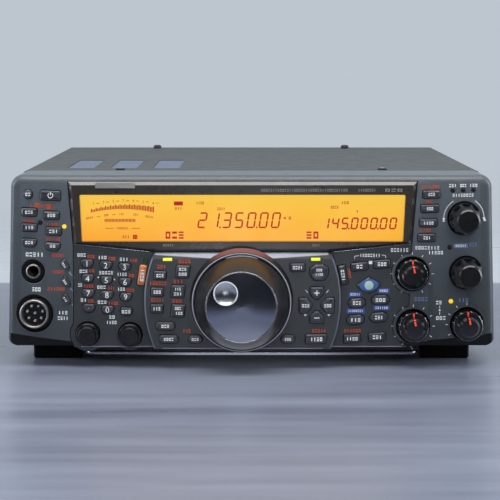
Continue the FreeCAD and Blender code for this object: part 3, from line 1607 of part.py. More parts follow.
def power_socket():
    piece = Piece("power_socket")
    half_wide, half_high = S.power_width / 2, S.power_high / 2
    shell = piece.front(rear_face)
    centred_box(shell, power_place, half_wide, half_high)
    piece.pad(shell, S.power_reach)
    piece.round(S.key_corner, lambda middle, along: abs(along.y) > 0.9)
    neck = piece.front(rear_inside - S.panel_shell)
    centred_box(neck, power_place, *power_neck)
    piece.pad(neck, rear_face - rear_inside + S.panel_shell + 1)
    mouth = piece.front(rear_face + S.power_wall)
    centred_box(mouth, power_place, *power_neck)
    piece.pocket(mouth, S.power_reach)
    pins = piece.front(rear_face)
    for across in (-1, 1):
        for up in (-1, 1):
            pins.circle(power_place[0] + across * S.power_width / 5, power_place[1] + up * S.power_high / 6,
                        S.power_pin)
    piece.pad(pins, S.power_reach * 0.8)
    return piece


def ground_post():
    piece = Piece("ground_post")
    stud = piece.front(rear_inside - S.panel_shell)
    stud.circle(*ground_place, S.ground_stud)
    piece.pad(stud, rear_face - rear_inside + S.panel_shell + S.power_reach)
    washer = piece.front(rear_face)
    washer.circle(*ground_place, S.ground_stud * 2.5)
    piece.pad(washer, S.sheet_thick)
    nut = piece.front(rear_face)
    nut.circle(*ground_place, S.ground_stud * 1.8)
    piece.pad(nut, S.power_reach / 2)
    wings = piece.front(rear_face + S.sheet_thick)
    centred_box(wings, ground_place, S.ground_stud * 4, S.ground_stud * 0.5)
    piece.pad(wings, S.power_reach / 2)
    return piece


def rear_jacks():
    piece = Piece("rear_jacks")
    start = rear_inside - S.panel_shell
    bodies = piece.front(start)
    collars = piece.front(rear_face)
    bores = piece.front(start + S.panel_shell)
    for place in jack_places:
        bodies.circle(*place, S.jack_nut)
        collars.circle(*place, S.jack_nut + 1)
        bores.circle(*place, S.jack_bore)
    piece.pad(bodies, rear_face - start + S.jack_reach)
    piece.pad(collars, S.jack_reach / 3)
    piece.pocket(bores, S.fin_depth * 3)
    return piece


def serial_port():
    piece = Piece("serial_port")
    flange = piece.front(rear_face)
    centred_box(flange, serial_place, S.serial_width / 2, S.serial_high / 2)
    piece.pad(flange, S.sheet_thick)
    neck = piece.front(rear_inside - S.panel_shell)
    centred_box(neck, serial_place, *serial_neck)
    piece.pad(neck, rear_face - rear_inside + S.panel_shell + 1)
    shell = piece.front(rear_face)
    half, wall = serial_neck[0] - 1, serial_neck[1]
    x, z = serial_place
    shell.outline([(x - half + 1, z - wall), (x + half - 1, z - wall), (x + half, z + wall), (x - half, z + wall)])
    piece.pad(shell, S.serial_reach)
    mouth = piece.front(rear_face + S.sheet_thick)
    inner, low = half - 1.5, wall - 1
    mouth.outline([
        (x - inner + 1, z - low), (x + inner - 1, z - low), (x + inner, z + low), (x - inner, z + low)])
    piece.pocket(mouth, S.serial_reach)
    return piece


def front_circuit_board():
    piece = Piece("front_circuit_board")
    half = S.cover_half - S.panel_shell - 0.1
    board = piece.front(S.board_depth)
    board.box(-half, base + S.undercut_inner + 0.5, half, top - S.undercut_inner)
    piece.pad(board, S.board_thick)
    holes = piece.front(S.board_depth - 1)
    holes.circle(S.phones_x, base + S.phones_z, S.phones_nut + 0.7)
    holes.circle(S.mike_x, base + S.mike_z, S.mike_shell + 0.9)
    piece.pocket(holes, S.board_thick + 2)
    return piece


def main_circuit_board():
    piece = Piece("main_circuit_board")
    half = S.main_board_half
    floor = base + S.sheet_thick + S.chassis_thick + S.standoff_high
    board = piece.plan(floor)
    board.box(-half, S.main_board_front, half, S.main_board_back)
    piece.pad(board, S.board_thick)
    above = floor + S.board_thick
    cans = piece.plan(above)
    for x, depth, wide, long in ((-70, 120, 60, 74), (14, 112, 84, 56), (12, 190, 66, 60), (-62, 214, 40, 44)):
        cans.box(x - wide / 2, depth - long / 2, x + wide / 2, depth + long / 2)
    piece.pad(cans, S.shield_high)
    tall = piece.plan(above)
    for x, depth in ((84, 96), (84, 116), (84, 136), (84, 180), (-20, 252), (70, 252)):
        tall.circle(x, depth, S.standoff_high * 0.8)
    piece.pad(tall, S.shield_high * 1.8)
    return piece


def power_amp_board():
    """The transmitter's output stage, its transistors pressed to the rear plate."""
    piece = Piece("power_amp_board")
    face = rear_inside - S.amp_standoff - S.board_thick
    low, high = base + S.socket_block_high + 3, top - S.rail_high * 2
    board = piece.front(face)
    board.box(S.amp_left, low, S.amp_right, high)
    piece.pad(board, S.board_thick)
    blocks = piece.front(face)
    toroids = piece.front(face - S.shield_high)
    middle = (low + high) / 2
    for step in range(4):
        x = S.amp_left + (S.amp_right - S.amp_left) * (0.14 + 0.24 * step)
        centred_box(blocks, (x, middle), S.housing, S.housing)
        toroids.circle(x, middle, S.housing)
        toroids.circle(x, middle, S.housing / 2)
    piece.pad(blocks, S.board_thick + S.amp_standoff)
    piece.pad(toroids, S.shield_high)
    return piece


pieces = [
    front_panel(), display_bezel(), display_module(), centre_fascia(), dial_collar(), tuning_dial(),
    dial_finger_cup(), filter_knob("left"), filter_knob("right"), turning_knob("offset_knob", "offset"),
    turning_knob("channel_knob", "channel"),
]
for node, name in (("audio", "gain_one"), ("monitor", "gain_two"), ("squelch", "gain_three")):
    pieces += [gain_ring(f"{node}_gain_ring", name), gain_cap(f"{node}_gain_cap", name)]
pieces += [family_piece(family) for family in dict.fromkeys(key[0] for key in keys)]
pieces += [
    rotary_controls(), indicator_lamps(), microphone_socket(), microphone_insert(), headphone_jack(),
    front_feet(), rear_feet(), tilt_bail(), top_cover(), bottom_cover(), chassis(), cover_screws(),
    speaker_mesh(), speaker(), fan_frame(), fan_rotor(), rear_heat_sink(), antenna_sockets(), power_socket(),
    ground_post(), rear_jacks(), serial_port(), front_circuit_board(), main_circuit_board(),
    power_amp_board(),
]
doc.recompute()

faults = [item.Label for item in doc.Objects if {"Invalid", "Error"} & set(item.State)]
if faults:
    raise RuntimeError(f"not solved: {faults}")
for piece in pieces:
    if piece.body.Shape.isNull() or not piece.body.Shape.isValid():
        raise RuntimeError(f"{piece.body.Label} has no valid shape")

os.makedirs("parts", exist_ok=True)
for piece in pieces:
    piece.body.Shape.exportStep(f"parts/{piece.body.Label}.step")
    print(piece.body.Label, len(piece.body.Shape.Solids), "solids")
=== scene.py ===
import bpy, bmesh, math
from mathutils import Matrix, Vector


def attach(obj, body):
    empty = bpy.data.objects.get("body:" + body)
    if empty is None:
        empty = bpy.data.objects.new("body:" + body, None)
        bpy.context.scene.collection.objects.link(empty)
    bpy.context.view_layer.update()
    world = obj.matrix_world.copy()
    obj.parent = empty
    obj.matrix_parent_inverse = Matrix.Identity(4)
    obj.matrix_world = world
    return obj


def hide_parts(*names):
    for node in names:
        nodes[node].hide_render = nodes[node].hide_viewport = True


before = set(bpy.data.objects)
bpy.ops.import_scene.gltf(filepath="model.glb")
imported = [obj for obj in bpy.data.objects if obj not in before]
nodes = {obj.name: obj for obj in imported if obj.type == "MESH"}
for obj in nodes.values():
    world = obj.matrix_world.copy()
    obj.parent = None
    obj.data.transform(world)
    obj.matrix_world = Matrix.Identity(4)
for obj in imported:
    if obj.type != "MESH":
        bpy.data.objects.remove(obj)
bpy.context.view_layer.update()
print("frame loaded:", len(nodes), "nodes")

mm = 0.001
frontPlane = -0.1555  # world Y of the panel's front
upright = (math.pi / 2, 0, 0)  # flat work that faces the front
deepAxis = Vector((0, 1, 0))


def spot(x, depth, z):
    return Vector((x * mm, frontPlane + depth * mm, z * mm))


def tone(red, green, blue):  # screen colour, 0 to 255, to a shader colour
    def linear(value):
        share = value / 255
        return share / 12.92 if share <= 0.04045 else ((share + 0.055) / 1.055) ** 2.4
    return (linear(red), linear(green), linear(blue), 1.0)


def pickOnly(piece):
    bpy.ops.object.select_all(action="DESELECT")
    piece.select_set(True)
    bpy.context.view_layer.objects.active = piece


def applyPlace(piece):
    pickOnly(piece)
    bpy.ops.object.transform_apply(location=True, rotation=True, scale=True)


def selectWhere(piece, test, mode="FACE"):  # edit mode, with only what passes the test picked
    pickOnly(piece)
    bpy.ops.object.mode_set(mode="EDIT")
    bpy.ops.mesh.select_mode(type=mode)
    bpy.ops.mesh.select_all(action="DESELECT")
    mesh = bmesh.from_edit_mesh(piece.data)
    parts = mesh.faces if mode == "FACE" else mesh.edges
    for part in parts:
        if test(part):
            part.select_set(True)
    bmesh.update_edit_mesh(piece.data)


def leaveEdit():
    bpy.ops.object.mode_set(mode="OBJECT")


def faceMiddle(face):
    return face.calc_center_median()


def edgeMiddle(edge):
    return (edge.verts[0].co + edge.verts[1].co) / 2


def closeSkin():  # faces of the piece in edit mode all point outwards
    bpy.ops.mesh.select_all(action="SELECT")
    bpy.ops.mesh.normals_make_consistent(inside=False)
    leaveEdit()


def thicken(piece, thickness):  # a wall behind the faces
    wall = piece.modifiers.new("wall", "SOLIDIFY")
    wall.thickness = thickness
    wall.offset = -1
    bpy.ops.object.modifier_apply(modifier=wall.name)


def copyPiece(name, source):
    piece = bpy.data.objects.new(name, source.data.copy())
    bpy.context.scene.collection.objects.link(piece)
    return piece


def makeBlock(width, depth, height):
    bpy.ops.mesh.primitive_cube_add(size=1)
    block = bpy.context.object
    block.scale = (width, depth, height)
    applyPlace(block)
    return block


def roundFront(piece, limit, offset, segments, profile=0.5):  # bevels the edges that lie ahead of the limit
    selectWhere(piece, lambda edge: edgeMiddle(edge).y < limit, "EDGE")
    bpy.ops.mesh.bevel(offset=offset, segments=segments, profile=profile)
    leaveEdit()


def finishPiece(piece, name, body, finish, smooth=40):
    piece.name = name
    piece.data.name = name
    piece.data.materials.clear()
    piece.data.materials.append(finish)
    pickOnly(piece)
    bpy.ops.object.shade_smooth_by_angle(angle=math.radians(smooth))
    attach(piece, body)
    return piece


# shader groups shared by the finishes
def feed(tree, socket, item):  # a number or a colour is set, anything else is linked
    if isinstance(item, (int, float, tuple)):
        socket.default_value = item
    else:
        tree.links.new(item, socket)


def openGroup(name, inputs, outputs):
    group = bpy.data.node_groups.new(name, "ShaderNodeTree")
    for label, kind, value in inputs:
        socket = group.interface.new_socket(label, in_out="INPUT", socket_type="NodeSocket" + kind)
        if value is not None:
            socket.default_value = value
    for label, kind in outputs:
        group.interface.new_socket(label, in_out="OUTPUT", socket_type="NodeSocket" + kind)
    return group, group.nodes.new("NodeGroupInput").outputs, group.nodes.new("NodeGroupOutput").inputs


def closeGroup(group, outward, **values):
    for label, value in values.items():
        group.links.new(value, outward[label])
    return group


def addMath(tree, action, first, second=0.0):
    node = tree.nodes.new("ShaderNodeMath")
    node.operation = action
    feed(tree, node.inputs[0], first)
    feed(tree, node.inputs[1], second)
    return node.outputs[0]


def addNoise(tree, place, scale, detail=3.0, roughness=0.5):
    node = tree.nodes.new("ShaderNodeTexNoise")
    for label, item in (("Vector", place), ("Scale", scale), ("Detail", detail), ("Roughness", roughness)):
        feed(tree, node.inputs[label], item)
    return node.outputs["Fac"]


def addRange(tree, value, fromLow, fromHigh, toLow=0.0, toHigh=1.0):
    node = tree.nodes.new("ShaderNodeMapRange")
    for label, item in (("Value", value), ("From Min", fromLow), ("From Max", fromHigh),
                        ("To Min", toLow), ("To Max", toHigh)):
        feed(tree, node.inputs[label], item)
    return node.outputs["Result"]


def addMix(tree, factor, first, second):
    node = tree.nodes.new("ShaderNodeMix")
    node.data_type = "RGBA"
    for index, item in ((0, factor), (6, first), (7, second)):
        feed(tree, node.inputs[index], item)
    return node.outputs[2]


def splitPlace(tree, vector):
    node = tree.nodes.new("ShaderNodeSeparateXYZ")
    tree.links.new(vector, node.inputs[0])
    return node.outputs


def makeMouldedSkin():
    group, inward, outward = openGroup(
        "mouldedSkin", [("Place", "Vector", None), ("Fineness", "Float", 2500.0)],
        [("Relief", "Float"), ("Mottle", "Float")])
    fine = addNoise(group, inward["Place"], inward["Fineness"], 4.0, 0.6)
    broadScale = addMath(group, "MULTIPLY", inward["Fineness"], 0.035)
    broad = addNoise(group, inward["Place"], broadScale, 5.0, 0.65)
    return closeGroup(group, outward, Relief=fine, Mottle=broad)


def makeHandledTone():
    group, inward, outward = openGroup(
        "handledTone",
        [("Mottle", "Float", 0.5), ("Clean", "Color", None), ("Worn", "Color", None),
         ("Polish", "Float", 0.35), ("Dull", "Float", 0.55), ("Edges", "Float", 0.5)],
        [("Colour", "Color"), ("Roughness", "Float")])
    geometry = group.nodes.new("ShaderNodeNewGeometry")
    sharp = addRange(group, geometry.outputs["Pointiness"], 0.505, 0.56)
    rubbed = addMath(group, "MULTIPLY", sharp, inward["Edges"])
    patchy = addRange(group, inward["Mottle"], 0.35, 0.7, 0.0, 0.45)
    colour = addMix(group, addMath(group, "MAXIMUM", rubbed, patchy), inward["Clean"], inward["Worn"])
    rough = addRange(group, inward["Mottle"], 0.3, 0.7, inward["Polish"], inward["Dull"])
    return closeGroup(group, outward, Colour=colour, Roughness=rough)


def makeBrushedLines():
    group, inward, outward = openGroup(
        "brushedLines", [("Place", "Vector", None), ("Stretch", "Vector", (1.0, 1.0, 1.0))],
        [("Lines", "Float")])
    scaled = group.nodes.new("ShaderNodeVectorMath")
    scaled.operation = "MULTIPLY"
    group.links.new(inward["Place"], scaled.inputs[0])
    group.links.new(inward["Stretch"], scaled.inputs[1])
    return closeGroup(group, outward, Lines=addNoise(group, scaled.outputs[0], 1.0, 3.0, 0.6))


def addNormal(group):
    return splitPlace(group, group.nodes.new("ShaderNodeNewGeometry").outputs["Normal"])


def makeSettledDust():
    group, inward, outward = openGroup(
        "settledDust", [("Place", "Vector", None), ("Amount", "Float", 0.2)], [("Dust", "Float")])
    flat = addRange(group, addNormal(group)["Z"], 0.4, 1.0)
    cloud = addRange(group, addNoise(group, inward["Place"], 38.0, 6.0, 0.7), 0.35, 0.75)
    specks = addRange(group, addNoise(group, inward["Place"], 1400.0, 2.0, 0.5), 0.62, 0.72)
    laid = addMath(group, "MULTIPLY", flat, addMath(group, "ADD", cloud, specks))
    return closeGroup(group, outward, Dust=addMath(group, "MULTIPLY", laid, inward["Amount"]))


def makePunchedHoles():
    group, inward, outward = openGroup(
        "punchedHoles", [("Place", "Vector", None), ("Pitch", "Float", 700.0)], [("Hole", "Float")])
    cells = group.nodes.new("ShaderNodeTexVoronoi")
    cells.voronoi_dimensions = "2D"
    cells.inputs["Randomness"].default_value = 0.0
    group.links.new(inward["Place"], cells.inputs["Vector"])
    group.links.new(inward["Pitch"], cells.inputs["Scale"])
    return closeGroup(group, outward, Hole=addRange(group, cells.outputs["Distance"], 0.24, 0.34, 1.0, 0.0))


# painted shade: ambient occlusion darkens crevices, the gaps round keys and the hollows, where shade falls
def makeCreviceShade():
    group, inward, outward = openGroup("creviceShade", [("Reach", "Float", 0.0009)], [("Shade", "Float")])
    closeness = group.nodes.new("ShaderNodeAmbientOcclusion")
    closeness.samples = 8
    group.links.new(inward["Reach"], closeness.inputs["Distance"])
    return closeGroup(group, outward, Shade=addRange(group, closeness.outputs["AO"], 0.35, 0.92, 1.0, 0.0))


# this mask places the painted highlights on the fascia's ledge and flanks
def makeSlopeMask():  # how far a face leans up and across
    group, inward, outward = openGroup("slopeMask", [], [("Up", "Float"), ("Across", "Float")])
    normal = addNormal(group)
    aside = addMath(group, "ABSOLUTE", normal["X"])
    leaning = addRange(group, aside, 0.25, 0.4)
    straight = addRange(group, aside, 0.96, 0.99, 1.0, 0.0)
    return closeGroup(group, outward, Up=addRange(group, normal["Z"], 0.2, 0.35),
                      Across=addMath(group, "MULTIPLY", leaning, straight))


groups = {"skin": makeMouldedSkin(), "handled": makeHandledTone(), "brushed": makeBrushedLines(),
          "dust": makeSettledDust(), "holes": makePunchedHoles(), "creviceShade": makeCreviceShade(),
          "slopeHighlights": makeSlopeMask()}
print("shader groups made")


def startFinish(name, constants):
    finish = bpy.data.materials.new(name)
    finish.use_nodes = True
    tree = finish.node_tree
    shader = tree.nodes["Principled BSDF"]
    for label, value in constants.items():
        shader.inputs[label].default_value = value
    place = tree.nodes.new("ShaderNodeTexCoord").outputs["Object"]
    return finish, tree, shader, place


def addGroup(tree, key, **values):
    node = tree.nodes.new("ShaderNodeGroup")
    node.node_tree = groups[key]
    for label, value in values.items():
        feed(tree, node.inputs[label], value)
    return node.outputs


def addBump(tree, shader, height, depth):
    bump = tree.nodes.new("ShaderNodeBump")
    bump.inputs["Distance"].default_value = depth * mm
    tree.links.new(height, bump.inputs["Height"])
    tree.links.new(bump.outputs["Normal"], shader.inputs["Normal"])


edgeFade = 0.3  # over how many millimetres a painted band fades out


def addStep(tree, value, start, rising=True):  # 0 to 1 over the fade, or 1 to 0
    low, high = (0.0, 1.0) if rising else (1.0, 0.0)
    return addRange(tree, value, start * mm, (start + edgeFade) * mm, low, high)


def addDistance(tree, place, x, z):  # from an axis that runs front to back, squared and plain, with its rise
    parts = splitPlace(tree, place)
    across = addMath(tree, "SUBTRACT", parts["X"], x * mm)
    up = addMath(tree, "SUBTRACT", parts["Z"], z * mm)
    squared = addMath(tree, "ADD", addMath(tree, "MULTIPLY", across, across), addMath(tree, "MULTIPLY", up, up))
    return squared, addMath(tree, "SQRT", squared), up


def addUndercutShade(tree, place, colour, settings):  # painted shade: a dark band low on the panel, where its foot turns under
    parts = splitPlace(tree, place)
    beyond = addMath(tree, "SUBTRACT", addMath(tree, "ABSOLUTE", parts["X"]), settings["from"] * mm)
    climb = addMath(tree, "MULTIPLY", addMath(tree, "MAXIMUM", beyond), settings["rise"])
    above = addMath(tree, "SUBTRACT", addMath(tree, "SUBTRACT", parts["Z"], climb), settings["level"] * mm)
    low = addStep(tree, above, 0.0, False)
    near = addStep(tree, parts["Y"], frontPlane / mm + settings["deep"], False)
    return addMix(tree, addMath(tree, "MULTIPLY", low, near), colour, tone(*settings["shade"]))


def addFallingShade(tree, place, colour, settings):  # painted shade: the panel darkens towards its foot
    height = splitPlace(tree, place)["Z"]
    down = addRange(tree, height, settings["top"] * mm, settings["foot"] * mm, 0.0, settings["amount"])
    return addMix(tree, down, colour, tone(*settings["shade"]))


def addSlopeHighlights(tree, place, colour, settings):  # painted highlights: a paler ledge over the stage and paler flanks beside it
    parts = splitPlace(tree, place)
    slopeHighlights = addGroup(tree, "slopeHighlights")
    aside = addMath(tree, "ABSOLUTE", addMath(tree, "SUBTRACT", parts["X"], settings["middle"] * mm))
    central = addRange(tree, aside, settings["half"] * mm, (settings["half"] + 1) * mm, 1.0, 0.0)
    level = addMath(tree, "SUBTRACT", parts["Z"], addMath(tree, "MULTIPLY", aside, settings["climb"]))
    high = addStep(tree, level, settings["above"])
    ledge = addMath(tree, "MULTIPLY", addMath(tree, "MULTIPLY", central, high), slopeHighlights["Up"])
    proud = addRange(tree, parts["Y"], frontPlane - 0.1 * mm, frontPlane + 0.4 * mm, 1.0, 0.0)
    beside = addMath(tree, "MULTIPLY", addMath(tree, "SUBTRACT", 1.0, central), proud)
    flankHighlight = addMath(tree, "MULTIPLY", beside, slopeHighlights["Across"])
    colour = addMix(tree, flankHighlight, colour, tone(*settings["flankHighlight"]))
    return addMix(tree, ledge, colour, tone(*settings["ledge"]))


def addCollarReflection(tree, place, colour, settings):  # painted reflection: a rosy arc at the top of the collar, where the amber display would mirror
    _, reach, up = addDistance(tree, place, settings["x"], settings["z"])
    high = addRange(tree, up, settings["low"] * mm, settings["full"] * mm)
    outside = addStep(tree, reach, settings["reach"])
    return addMix(tree, addMath(tree, "MULTIPLY", outside, high), colour, tone(*settings["shade"]))


shaderKeys = {"metal": "Metallic", "gleam": "Specular IOR Level", "coat": "Coat Weight",
              "coatDull": "Coat Roughness"}
# each of these steps paints light or shade into the colour
paintedLightSteps = {"fall": addFallingShade, "slopeHighlights": addSlopeHighlights, "rosyReflection": addCollarReflection, "undercutShade": addUndercutShade}
# the dust tone is a real colour; the crevice tone is the colour of painted shade
dustTone, creviceShadeTone = (150, 152, 156), (7, 7, 8)


def makeFinish(name, clean, worn, polish, dull, fineness, depth, edges, **more):
    constants = {label: more[key] for key, label in shaderKeys.items() if key in more}
    finish, tree, shader, place = startFinish(name, constants)
    skin = addGroup(tree, "skin", Place=place, Fineness=fineness)
    handled = addGroup(tree, "handled", Mottle=skin["Mottle"], Clean=tone(*clean), Worn=tone(*worn),
                       Polish=polish, Dull=dull, Edges=edges)
    colour, height = handled["Colour"], skin["Relief"]
    if "lines" in more:
        height = addGroup(tree, "brushed", Place=place, Stretch=more["lines"])["Lines"]
        shade = addRange(tree, height, 0.3, 0.7, 0.0, more["lineShade"])
        colour = addMix(tree, shade, colour, tone(*more["lineTone"]))
    if "dust" in more:
        dust = addGroup(tree, "dust", Place=place, Amount=more["dust"])
        colour = addMix(tree, dust["Dust"], colour, tone(*dustTone))
    for key, paint in paintedLightSteps.items():
        if key in more:
            colour = paint(tree, place, colour, more[key])
    # painted shade in crevices and gaps
    if "creviceShade" in more:
        creviceShade = addGroup(tree, "creviceShade", Reach=more["creviceShade"] * mm)
        colour = addMix(tree, creviceShade["Shade"], colour, tone(*creviceShadeTone))
    tree.links.new(colour, shader.inputs["Base Color"])
    tree.links.new(handled["Roughness"], shader.inputs["Roughness"])
    addBump(tree, shader, height, depth)
    return finish


# clean and worn colour, polished and dull roughness, fineness, relief in millimetres, worn edges, the rest
# in the rest, the falling, undercut and crevice entries are painted shade, the slope entries painted highlights and
# the rosy entry a painted reflection
finishes = {
    "panel_plastic": (
        (78, 85, 90), (98, 106, 114), 0.36, 0.48, 3200.0, 0.02, 0.8,
        {"coat": 0.2, "coatDull": 0.25, "creviceShade": 0.9,
         "fall": {"top": 92.0, "foot": 22.0, "amount": 0.62, "shade": (38, 42, 44)},
         "undercutShade": {"from": 99.0, "rise": 0.1085, "level": 14.1, "deep": 7.0, "shade": (7, 7, 9)}}),
    "bezel_plastic": ((46, 38, 33), (62, 57, 55), 0.24, 0.36, 3600.0, 0.012, 0.7, {"coat": 0.75, "coatDull": 0.08}),
    "fascia_plastic": (
        (50, 55, 58), (64, 69, 74), 0.36, 0.5, 3400.0, 0.02, 0.55,
        {"coat": 0.15, "coatDull": 0.3, "creviceShade": 0.9, "slopeHighlights": {"middle": -5.4, "half": 47.5, "above": 60.5,
         "climb": 0.051, "ledge": (172, 177, 190), "flankHighlight": (114, 119, 134)}}),
    "collar_satin": (
        (20, 20, 23), (36, 36, 40), 0.36, 0.46, 3600.0, 0.008, 0.4,
        {"rosyReflection": {"x": -5.4, "z": 37.4, "reach": 27.8, "low": 22.5, "full": 27.0, "shade": (112, 56, 54)}}),
    "key_plastic": ((58, 60, 66), (84, 88, 97), 0.28, 0.4, 5200.0, 0.008, 0.8, {"coat": 0.3, "coatDull": 0.2}),
    "orange_key_plastic": ((222, 126, 72), (240, 168, 120), 0.34, 0.48, 5200.0, 0.01, 0.8, {}),
    "knob_rubber": ((13, 13, 15), (34, 35, 40), 0.24, 0.36, 4200.0, 0.01, 0.6, {"coat": 0.25, "coatDull": 0.2}),
    "knob_gloss": ((30, 32, 34), (32, 32, 36), 0.12, 0.2, 4200.0, 0.003, 0.5, {"coat": 0.6, "coatDull": 0.06}),
    "dial_plastic": ((25, 26, 30), (44, 46, 52), 0.3, 0.4, 2600.0, 0.004, 0.5, {"coat": 0.15, "coatDull": 0.25}),
    "polished_cup": ((206, 209, 216), (184, 188, 196), 0.26, 0.34, 2200.0, 0.002, 0.2, {"metal": 1.0}),
    "cover_paint": (
        (66, 69, 70), (84, 88, 90), 0.5, 0.66, 2400.0, 0.02, 0.7,
        {"gleam": 0.3, "lines": (22.0, 900.0, 900.0), "lineTone": (54, 57, 58), "lineShade": 0.55, "dust": 0.06}),
    "black_steel": ((24, 25, 27), (58, 60, 64), 0.28, 0.42, 2600.0, 0.006, 0.7, {"metal": 0.3}),
    "rim_satin": ((84, 90, 98), (110, 116, 126), 0.3, 0.4, 3200.0, 0.006, 0.4, {"coat": 0.3, "coatDull": 0.15}),
    "well_black": ((9, 9, 11), (20, 20, 23), 0.4, 0.55, 3600.0, 0.01, 0.3, {}),
    "plated_shell": ((176, 172, 168), (140, 136, 132), 0.34, 0.46, 1800.0, 0.006, 0.5, {"metal": 0.65}),
    "pin_satin": ((222, 218, 212), (196, 192, 186), 0.36, 0.46, 1800.0, 0.004, 0.4, {"metal": 0.25}),
    "badge_satin": ((176, 173, 170), (140, 136, 133), 0.32, 0.44, 1800.0, 0.006, 0.6, {"metal": 0.3}),
    "plated_steel": ((128, 128, 130), (158, 158, 160), 0.26, 0.42, 1800.0, 0.008, 0.6, {"metal": 1.0}),
    "black_plastic": ((20, 20, 22), (42, 42, 46), 0.22, 0.36, 3600.0, 0.01, 0.6, {"coat": 0.3, "coatDull": 0.15}),
    "foot_rubber": ((6, 6, 7), (20, 20, 22), 0.6, 0.8, 2600.0, 0.04, 0.3, {"gleam": 0.25, "dust": 0.1}),
    "bright_metal": ((206, 208, 212), (178, 180, 184), 0.14, 0.26, 1600.0, 0.004, 0.3, {"metal": 1.0}),
    "heat_sink_aluminium": (
        (58, 60, 63), (98, 100, 104), 0.4, 0.55, 1900.0, 0.02, 0.8,
        {"metal": 0.6, "lines": (30.0, 30.0, 1200.0), "lineTone": (44, 46, 49), "lineShade": 0.4}),
    "board_laminate": ((24, 84, 52), (40, 110, 70), 0.3, 0.45, 1200.0, 0.01, 0.5, {}),
    "cone_paper": ((28, 28, 28), (48, 46, 44), 0.7, 0.85, 1500.0, 0.05, 0.4, {}),
}
finishMade = {name: makeFinish(name, *basics, **more) for name, (*basics, more) in finishes.items()}


def makeMeshMetal(pitch, sheet, sheetLight, hole):  # punched sheet, its holes as dark dots: painted shade for the inside of each hole, which is not cut
    finish, tree, shader, place = startFinish("mesh_metal", {"Metallic": 0.4})
    mottle = addGroup(tree, "skin", Place=place, Fineness=1500.0)["Mottle"]
    holes = addGroup(tree, "holes", Place=place, Pitch=pitch)["Hole"]
    colour = addMix(tree, holes, addMix(tree, mottle, tone(*sheet), tone(*sheetLight)), tone(*hole))
    tree.links.new(colour, shader.inputs["Base Color"])
    tree.links.new(addRange(tree, mottle, 0.3, 0.7, 0.35, 0.5), shader.inputs["Roughness"])
    addBump(tree, shader, addMath(tree, "MULTIPLY", holes, -1.0), 0.3)
    return finish


finishMade["mesh_metal"] = makeMeshMetal(620.0, (104, 120, 148), (126, 141, 166), (58, 70, 92))
amber = {"ends": (-95.0, 85.0), "levels": (70.4, 96.3), "left": ((255, 166, 52), (254, 206, 78)),
         "right": ((252, 178, 58), (254, 204, 76)), "pale": (255, 222, 110)}


def makeAmberGlass(settings):  # backlit amber, deeper towards the bottom and the ends
    finish, tree, shader, place = startFinish(
        "amber_display", {"Emission Strength": 0.86, "Coat Weight": 0.5, "Coat Roughness": 0.06})
    parts = splitPlace(tree, place)
    high, along = [addRange(tree, parts[axis], settings[key][0] * mm, settings[key][1] * mm)
                   for axis, key in (("Z", "levels"), ("X", "ends"))]
    cloud = addNoise(tree, place, 26.0)
    sides = [addMix(tree, high, *[tone(*colour) for colour in settings[side]]) for side in ("left", "right")]
    glow = addMix(tree, addRange(tree, cloud, 0.35, 0.7, 0.0, 0.14), addMix(tree, along, *sides),
                  tone(*settings["pale"]))
    tree.links.new(glow, shader.inputs["Emission Color"])
    tree.links.new(addMix(tree, 0.8, glow, (0.0, 0.0, 0.0, 1.0)), shader.inputs["Base Color"])
    tree.links.new(addRange(tree, cloud, 0.3, 0.7, 0.1, 0.2), shader.inputs["Roughness"])
    return finish


finishMade["amber_display"] = makeAmberGlass(amber)


def makeInk(name, ink, thin, glow=0.0):  # printed or lit colour with slight wear
    finish, tree, shader, place = startFinish(name, {"Emission Strength": glow})
    skin = addGroup(tree, "skin", Place=place, Fineness=6000.0)
    colour = addMix(tree, addRange(tree, skin["Mottle"], 0.35, 0.7, 0.0, 0.5), tone(*ink), tone(*thin))
    tree.links.new(colour, shader.inputs["Base Color"])
    if glow:
        tree.links.new(colour, shader.inputs["Emission Color"])
    tree.links.new(addRange(tree, skin["Relief"], 0.3, 0.7, 0.35, 0.55), shader.inputs["Roughness"])
    addBump(tree, shader, skin["Relief"], 0.004)
    return finish


inks = {  # full and thin colour, glow
    # the glow on the white print is painted light: the print gives no light of its own
    "whiteInk": ((244, 247, 248), (222, 227, 231), 0.12),
    "greyInk": ((150, 148, 148), (124, 122, 122)),
    "orangeInk": ((222, 92, 44), (196, 80, 42)),
    "blueInk": ((60, 92, 176), (50, 80, 156)),
    "paleBlueInk": ((118, 138, 176), (98, 120, 158)),
    # the glow on the red pointer print is painted light
    "glowingRedInk": ((244, 70, 34), (228, 58, 30), 0.55),
    # this ink is used only for painted highlights
    "lavenderInk": ((150, 150, 168), (128, 128, 146)),
    "collarHighlightInk": ((196, 199, 212), (170, 173, 188)),
    "lensBlue": ((70, 104, 168), (62, 94, 154)),
    "paleDisc": ((186, 218, 206), (166, 204, 190)),
    "segmentInk": ((166, 26, 22), (150, 24, 22), 0.6),
    "yellowLens": ((232, 232, 64), (222, 220, 48), 0.7),
    "amberLens": ((246, 196, 40), (238, 184, 30), 0.7),
    "greenLens": ((38, 84, 44), (32, 72, 38)),
    "darkLens": ((30, 28, 30), (22, 21, 23)),
}
inkMade = {name: makeInk(name, *settings) for name, settings in inks.items()}

finishMade["lamp_plastic"] = inkMade["darkLens"]
glossyNodes = {stem + "_gain_" + part for stem in ("audio", "monitor", "squelch") for part in ("ring", "cap")}
ownFinish = {"dial_collar": "collar_satin", "microphone_socket": "plated_shell", "headphone_jack": "plated_shell"}
for name, node in nodes.items():
    for materialSlot in node.material_slots:
        slotName = "knob_gloss" if name in glossyNodes else materialSlot.material.name.split(".")[0]
        materialSlot.material = finishMade[ownFinish.get(name, slotName)]
print("finishes given to the frame")

